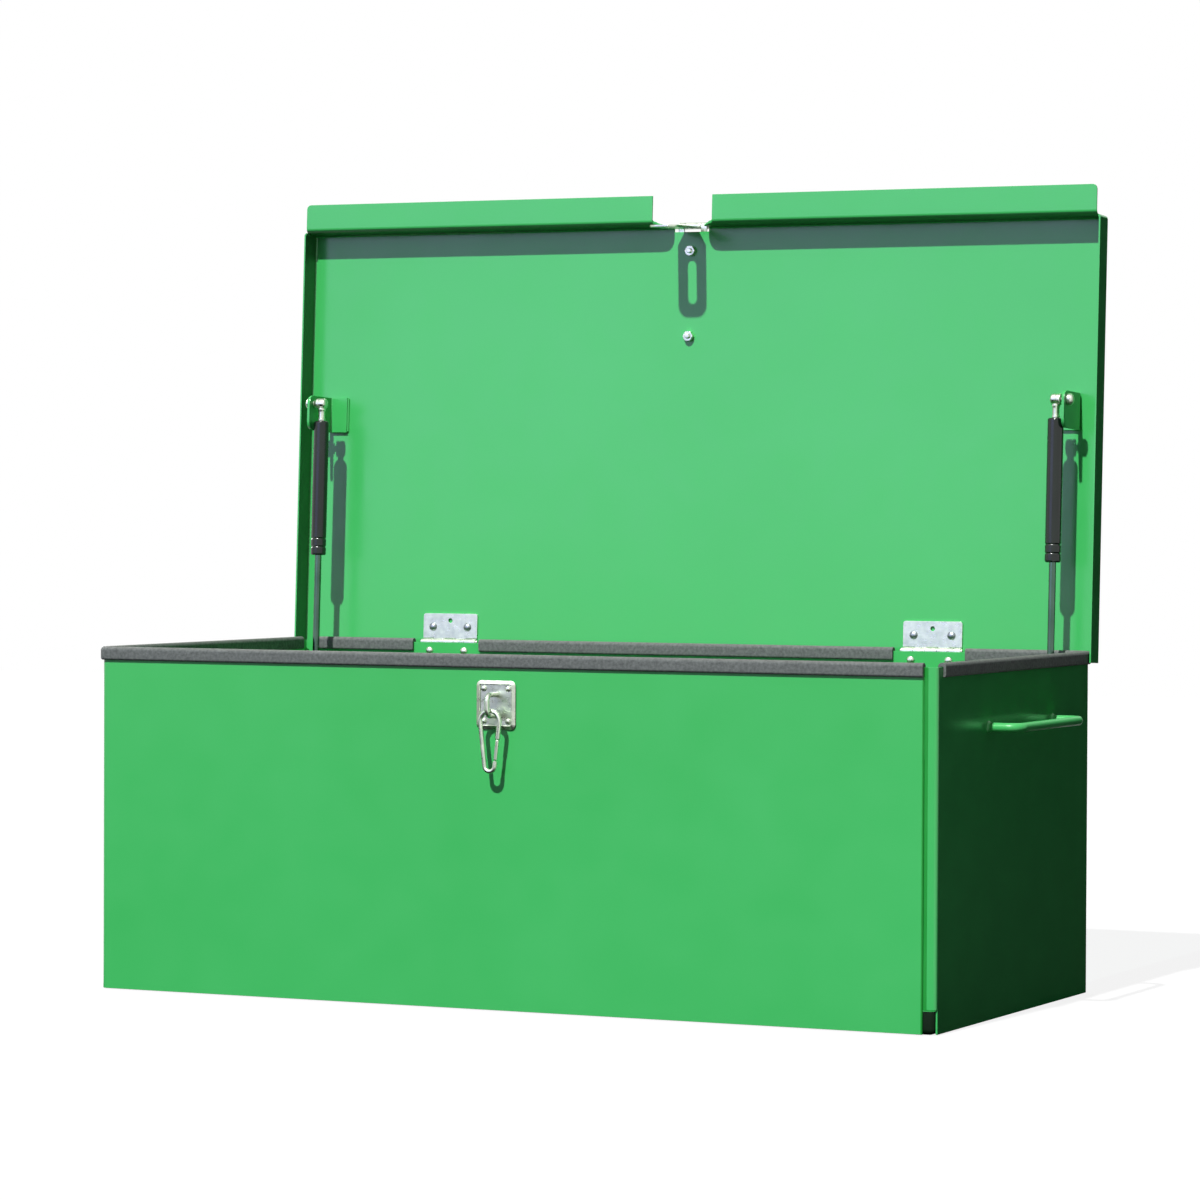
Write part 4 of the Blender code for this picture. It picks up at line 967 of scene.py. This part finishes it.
CAVITY = 0.0048
cup_outline = [(0.0036, 0.0065), (0.0055, 0.0065), (0.0063, 0.0058), (0.0065, 0.0050)]
cup_outline += [(0.0065, 0.0026), (0.0060, 0.0021), (0.0060, 0.0013), (0.0065, 0.0008)]
cup_outline += [(0.0065, -0.0034), (0.0062, -0.0044), (0.0054, -0.0054), (0.0039, -0.0062)]
cup_outline += [(0.0020, -0.0065), (0, -0.0065)]
hollow_inside = [(0.0, -CAVITY)] + ball_side(CAVITY, range(168, 47, -12)) + [(0.0036, 0.0032)]
flat_inside = [(0, 0.0058), (0.0033, 0.0058)]


def socket(name, stem_outline, inside):
    """A cup whose mouth faces up, with a stem towards the front."""
    cup = lathe(name, inside + cup_outline)
    stem = lathe("stem", stem_outline, 32)
    set_at(stem, turn(90, "X"))
    combine(cup, stem, "UNION")
    return cup


stem_up = [(0, 0.0207), (0.0041, 0.0207), (0.0045, 0.0203), (0.0045, 0.0180), (0.0040, 0.0176)]
stem_up += [(0.0040, 0.0100), (0.0043, 0.0086), (0.0049, 0.0074), (0.0046, 0.0052), (0, 0.0052)]
stem_down = [(radius, height - 0.0007 if height > 0.02 else height) for radius, height in stem_up]
for side, sign in SIDES:
    outwards = turn(sign * 90, "Y")
    for label, stem, inside, along, way, body in (
        ("upper", stem_up, hollow_inside, 0.0, 180, "barrel"),
        ("lower", stem_down, flat_inside, 0.338, 0, "rod"),
    ):
        cup = socket(f"strut_{side}_{label}_socket_dressed", stem, inside)
        set_at(cup, strut_top(sign) @ shift(0, along, 0) @ outwards @ turn(way, "Z"))
        plated(cup, f"strut_{side}_{body}", f"strut_{side}_{label}_socket")

# %% [markdown]
# A ball stud is riveted through its bracket: a low head shows outside, and its ball sits in the socket.
# They could be two pieces, but one outline from head to ball keeps the waist between them.

# %% Ball studs
BALL = 0.0042
stud_top = dome(0.0058, 0.0022, 0.0184, 8)
stud_top += [(0.0064, 0.0182), (0.0068, 0.0177), (0.0068, 0.0146), (0.0064, 0.0141), (0.003, 0.0141)]
stud_top += [(0.003, 0.0100), (0.0046, 0.0098), (0.0046, 0.0090), (0.0040, 0.0084), (0.0026, 0.0080)]
ball = ball_side(BALL, range(39, 180, 10)) + [(0, -BALL)]
lid_stud = lathe("lid_stud_pattern", stud_top + ball)
wall_stud = lathe("wall_stud_pattern", stud_top + [(0.0026, 0.0072), (0.0022, 0.0068), (0, 0.0068)])
for side, sign in SIDES:
    outwards = turn(sign * 90, "Y")
    plated_copy(lid_stud, f"strut_{side}_lid_stud", "lid", strut_top(sign) @ outwards)
    on_wall = shift(sign * STRUT_X, 0.19615, 0.32595) @ outwards
    plated_copy(wall_stud, f"strut_{side}_wall_stud", "box", on_wall)
throw_away(lid_stud, wall_stud)

# %% [markdown]
# ## Weld beads
#
# The strut brackets are welded down along their feet. A bead is a short worm of metal with ripples.
# It is turned as a rod with a wavy outline and laid half into the corner of foot and sheet.

# %% Beads
def bead(name, length, body, place, heading):
    """A rippled weld bead that starts at a place and runs along a heading."""
    ripples = round(length / 0.0024)
    outline = [(0, 0)]
    for number in range(ripples):
        start = length * number / ripples
        step = length / ripples
        for radius, share in ((0.0014, 0.1), (0.0016, 0.4), (0.00155, 0.75)):
            outline += [(radius, start + step * share)]
    outline += [(0, length)]
    worm = lathe(name, outline, 16)
    aim = Vector(heading).to_track_quat("Z", "Y").to_matrix().to_4x4()
    set_at(worm, Matrix.Translation(place) @ aim)
    painted(worm, body)


BEAD_X = 0.4553
BEAD_LENGTH = 0.040
for side, sign in SIDES:
    lid_foot = LID @ Vector((sign * BEAD_X, -0.292, 0.0036))
    bead(f"strut_{side}_lid_bead", BEAD_LENGTH, "lid", lid_foot, LID.to_3x3() @ Vector((0, 1, 0)))
    wall_foot = Vector((sign * BEAD_X, 0.2330, 0.295))
    bead(f"strut_{side}_wall_bead", BEAD_LENGTH, "box", wall_foot, (0, 0, 1))

# %% [markdown]
# ## Floor, light and camera
#
# The light in the photograph is high and straight in front of the box, and hardly any of it reaches
# the right end. A sun lamp gives that, with weak fill lamps and a dim sky for the shaded sides. The floor
# is white to the eye and to reflections, but throws little light back, so the shaded end stays dark.

# %% White to the eye
def seen_or_lit(tree, output, seen, lit):
    """Shows one shader to the camera, mirrors and glass, and another to soft light."""
    ray = tree.nodes.new("ShaderNodeLightPath")
    eye = ray.outputs["Is Camera Ray"]
    for label in ("Is Glossy Ray", "Is Transmission Ray"):
        either = tree.nodes.new("ShaderNodeMath")
        either.operation = "MAXIMUM"
        tree.links.new(eye, either.inputs[0])
        tree.links.new(ray.outputs[label], either.inputs[1])
        eye = either.outputs["Value"]
    choose = tree.nodes.new("ShaderNodeMixShader")
    tree.links.new(eye, choose.inputs["Fac"])
    tree.links.new(lit, choose.inputs[1])
    tree.links.new(seen, choose.inputs[2])
    tree.links.new(choose.outputs["Shader"], output)

# %% Floor
put_all_down()
bpy.ops.mesh.primitive_plane_add(size=1.0, location=(0, 3.0, -0.0006))
floor = bpy.context.object
floor.name = "studio_floor"
floor.scale = (14.0, 9.6, 1.0)
keep_place()
pale = bpy.data.materials.new("pale_floor")
pale.use_nodes = True
ground = pale.node_tree
ground.nodes.remove(ground.nodes["Principled BSDF"])
glow = ground.nodes.new("ShaderNodeEmission")
glow.inputs["Color"].default_value = (1, 1, 1, 1)
bright = ground.nodes.new("ShaderNodeBsdfDiffuse")
bright.inputs["Color"].default_value = (0.9, 0.9, 0.9, 1)
dull = ground.nodes.new("ShaderNodeBsdfDiffuse")
dull.inputs["Color"].default_value = (0.12, 0.12, 0.12, 1)
shadowed = ground.nodes.new("ShaderNodeMixShader")
shadowed.inputs["Fac"].default_value = 0.13
ground.links.new(glow.outputs["Emission"], shadowed.inputs[1])
ground.links.new(bright.outputs["BSDF"], shadowed.inputs[2])
ground_out = ground.nodes["Material Output"].inputs["Surface"]
seen_or_lit(ground, ground_out, shadowed.outputs["Shader"], dull.outputs["BSDF"])
floor.data.materials.append(pale)
print("floor:", [round(v, 2) for v in floor.dimensions])

# %% Sky
world = bpy.data.worlds.new("studio")
bpy.context.scene.world = world
world.use_nodes = True
sky = world.node_tree
dim = sky.nodes["Background"]
dim.inputs["Color"].default_value = (0.80, 0.92, 1, 1)
dim.inputs["Strength"].default_value = 0.15
white = sky.nodes.new("ShaderNodeBackground")
white.inputs["Color"].default_value = (1, 1, 1, 1)
sky_out = sky.nodes["World Output"].inputs["Surface"]
seen_or_lit(sky, sky_out, white.outputs["Background"], dim.outputs["Background"])
print("sky strength:", round(dim.inputs["Strength"].default_value, 3))

# %% [markdown]
# Black cards keep the painted sides deep, as in a studio. One lies in front of the box and one beside
# its right end, with its far edge turned up. The paint mirrors them and not the white floor. The camera
# does not see them, and they take no light away.

# %% Black cards
card_black = bpy.data.materials.new("card_black")
card_black.use_nodes = True
card_shader = card_black.node_tree.nodes["Principled BSDF"]
card_shader.inputs["Base Color"].default_value = (0.010, 0.012, 0.009, 1)
card_shader.inputs["Roughness"].default_value = 1.0
card_shader.inputs["Specular IOR Level"].default_value = 0.0


def black_card(name, low, high, turned_up):
    """A card on the floor between two corners, with its far edge turned up."""
    put_all_down()
    middle = ((low[0] + high[0]) / 2, (low[1] + high[1]) / 2, -0.0003)
    bpy.ops.mesh.primitive_plane_add(size=1.0, location=middle)
    card = bpy.context.object
    card.name = name
    card.scale = (high[0] - low[0], high[1] - low[1], 1.0)
    keep_place()
    if turned_up:
        points = card.data.vertices
        far = high[1] - 0.001
        select_only(card, "EDGE", lambda edge: all(points[v].co.y > far for v in edge.vertices))
        extrude((0, 0, turned_up))
        leave_edit_mode()
    card.data.materials.append(card_black)
    card.visible_camera = False
    card.visible_shadow = False
    print(name, "covers", [round(v, 2) for v in card.dimensions])


black_card("right_card", (0.46, -0.20), (3.13, 2.55), 1.4)
black_card("front_card", (-9.0, -12.0), (0.6, -0.20), 0)

# %% [markdown]
# A strong sun high in front throws the crisp shadows on the lid. A low, soft one lights the back and the
# left end, and a weak, wide one lifts the shadows. Area lamps could do it, but a sun is even all over.

# %% Lamps
def sun_lamp(name, towards, strength, softness):
    """A sun lamp that shines from the given direction."""
    put_all_down()
    bpy.ops.object.light_add(type="SUN", location=Vector(towards) * 3)
    lamp = bpy.context.object
    lamp.name = name
    lamp.data.energy = strength
    lamp.data.angle = math.radians(softness)
    lamp.rotation_euler = Vector(towards).to_track_quat("Z", "Y").to_euler()
    print(name, "strength", strength)
    return lamp


sun_lamp("high_front_light", (-0.03, -0.63, 0.775), 5.1, 1.2)
sun_lamp("low_back_fill", (-0.75, 0.55, 0.36), 1.7, 20.0)
front_fill = sun_lamp("front_fill", (-0.25, -0.92, 0.30), 0.30, 60.0)
front_fill.data.color = (1.0, 0.97, 0.72)
front_fill.visible_glossy = False

# %% [markdown]
# The lid leans back a little, so it mirrors the sky above the camera, and the front wall does not.
# A large bluish panel stands for that sky. It gives the lid its cool sheen and fills its shadows.

# %% Sky panel
put_all_down()
bpy.ops.object.light_add(type="AREA", location=(-1.9, -4.3, 1.75))
panel = bpy.context.object
panel.name = "sky_panel"
panel.data.shape = "RECTANGLE"
panel.data.size = 3.6
panel.data.size_y = 2.0
panel.data.energy = 37.0
panel.data.color = (0.34, 0.33, 0.95)
panel.rotation_euler = Vector((-1.9, -4.5, 1.1)).to_track_quat("Z", "Y").to_euler()
panel.visible_camera = False
print("panel:", round(panel.data.size, 2), "by", round(panel.data.size_y, 2), "m")

# %% [markdown]
# The camera was fitted to the corners and edges of the box in the photograph, which is 1200 pixels wide.
# The fit gives its place, three angles, a focal length in pixels and a small shift of the frame.

# %% Camera
PICTURE = 1200.0
SENSOR = 36.0
focal_pixels = 4549.0
shift_pixels = -11.6
yaw = math.radians(25.256)
pitch = math.radians(-1.204)
roll = math.radians(0.256)
ahead = Vector((-math.sin(yaw) * math.cos(pitch), math.cos(yaw) * math.cos(pitch), math.sin(pitch)))
level_right = Vector((math.cos(yaw), math.sin(yaw), 0))
level_up = level_right.cross(ahead)
right = level_right * math.cos(roll) + level_up * math.sin(roll)
up = level_up * math.cos(roll) - level_right * math.sin(roll)
put_all_down()
bpy.ops.object.camera_add(location=(0, 0, 0))
camera = bpy.context.object
camera.name = "photo_camera"
aim = Matrix((right, up, -ahead)).transposed().to_4x4()
camera.matrix_world = shift(2.1855, -4.5917, 0.5442) @ aim
camera.data.sensor_width = SENSOR
camera.data.lens = focal_pixels * SENSOR / PICTURE
camera.data.shift_x = shift_pixels / PICTURE
camera.data.clip_end = 100.0
bpy.context.scene.camera = camera
bpy.context.scene.view_settings.view_transform = "Standard"
print("lens:", round(camera.data.lens, 1), "mm")

# %% [markdown]
# Last, the view layer is updated, so that every piece stands in its place. No dressed piece may reach
# past the CAD.

# %% Last update
bpy.context.view_layer.update()
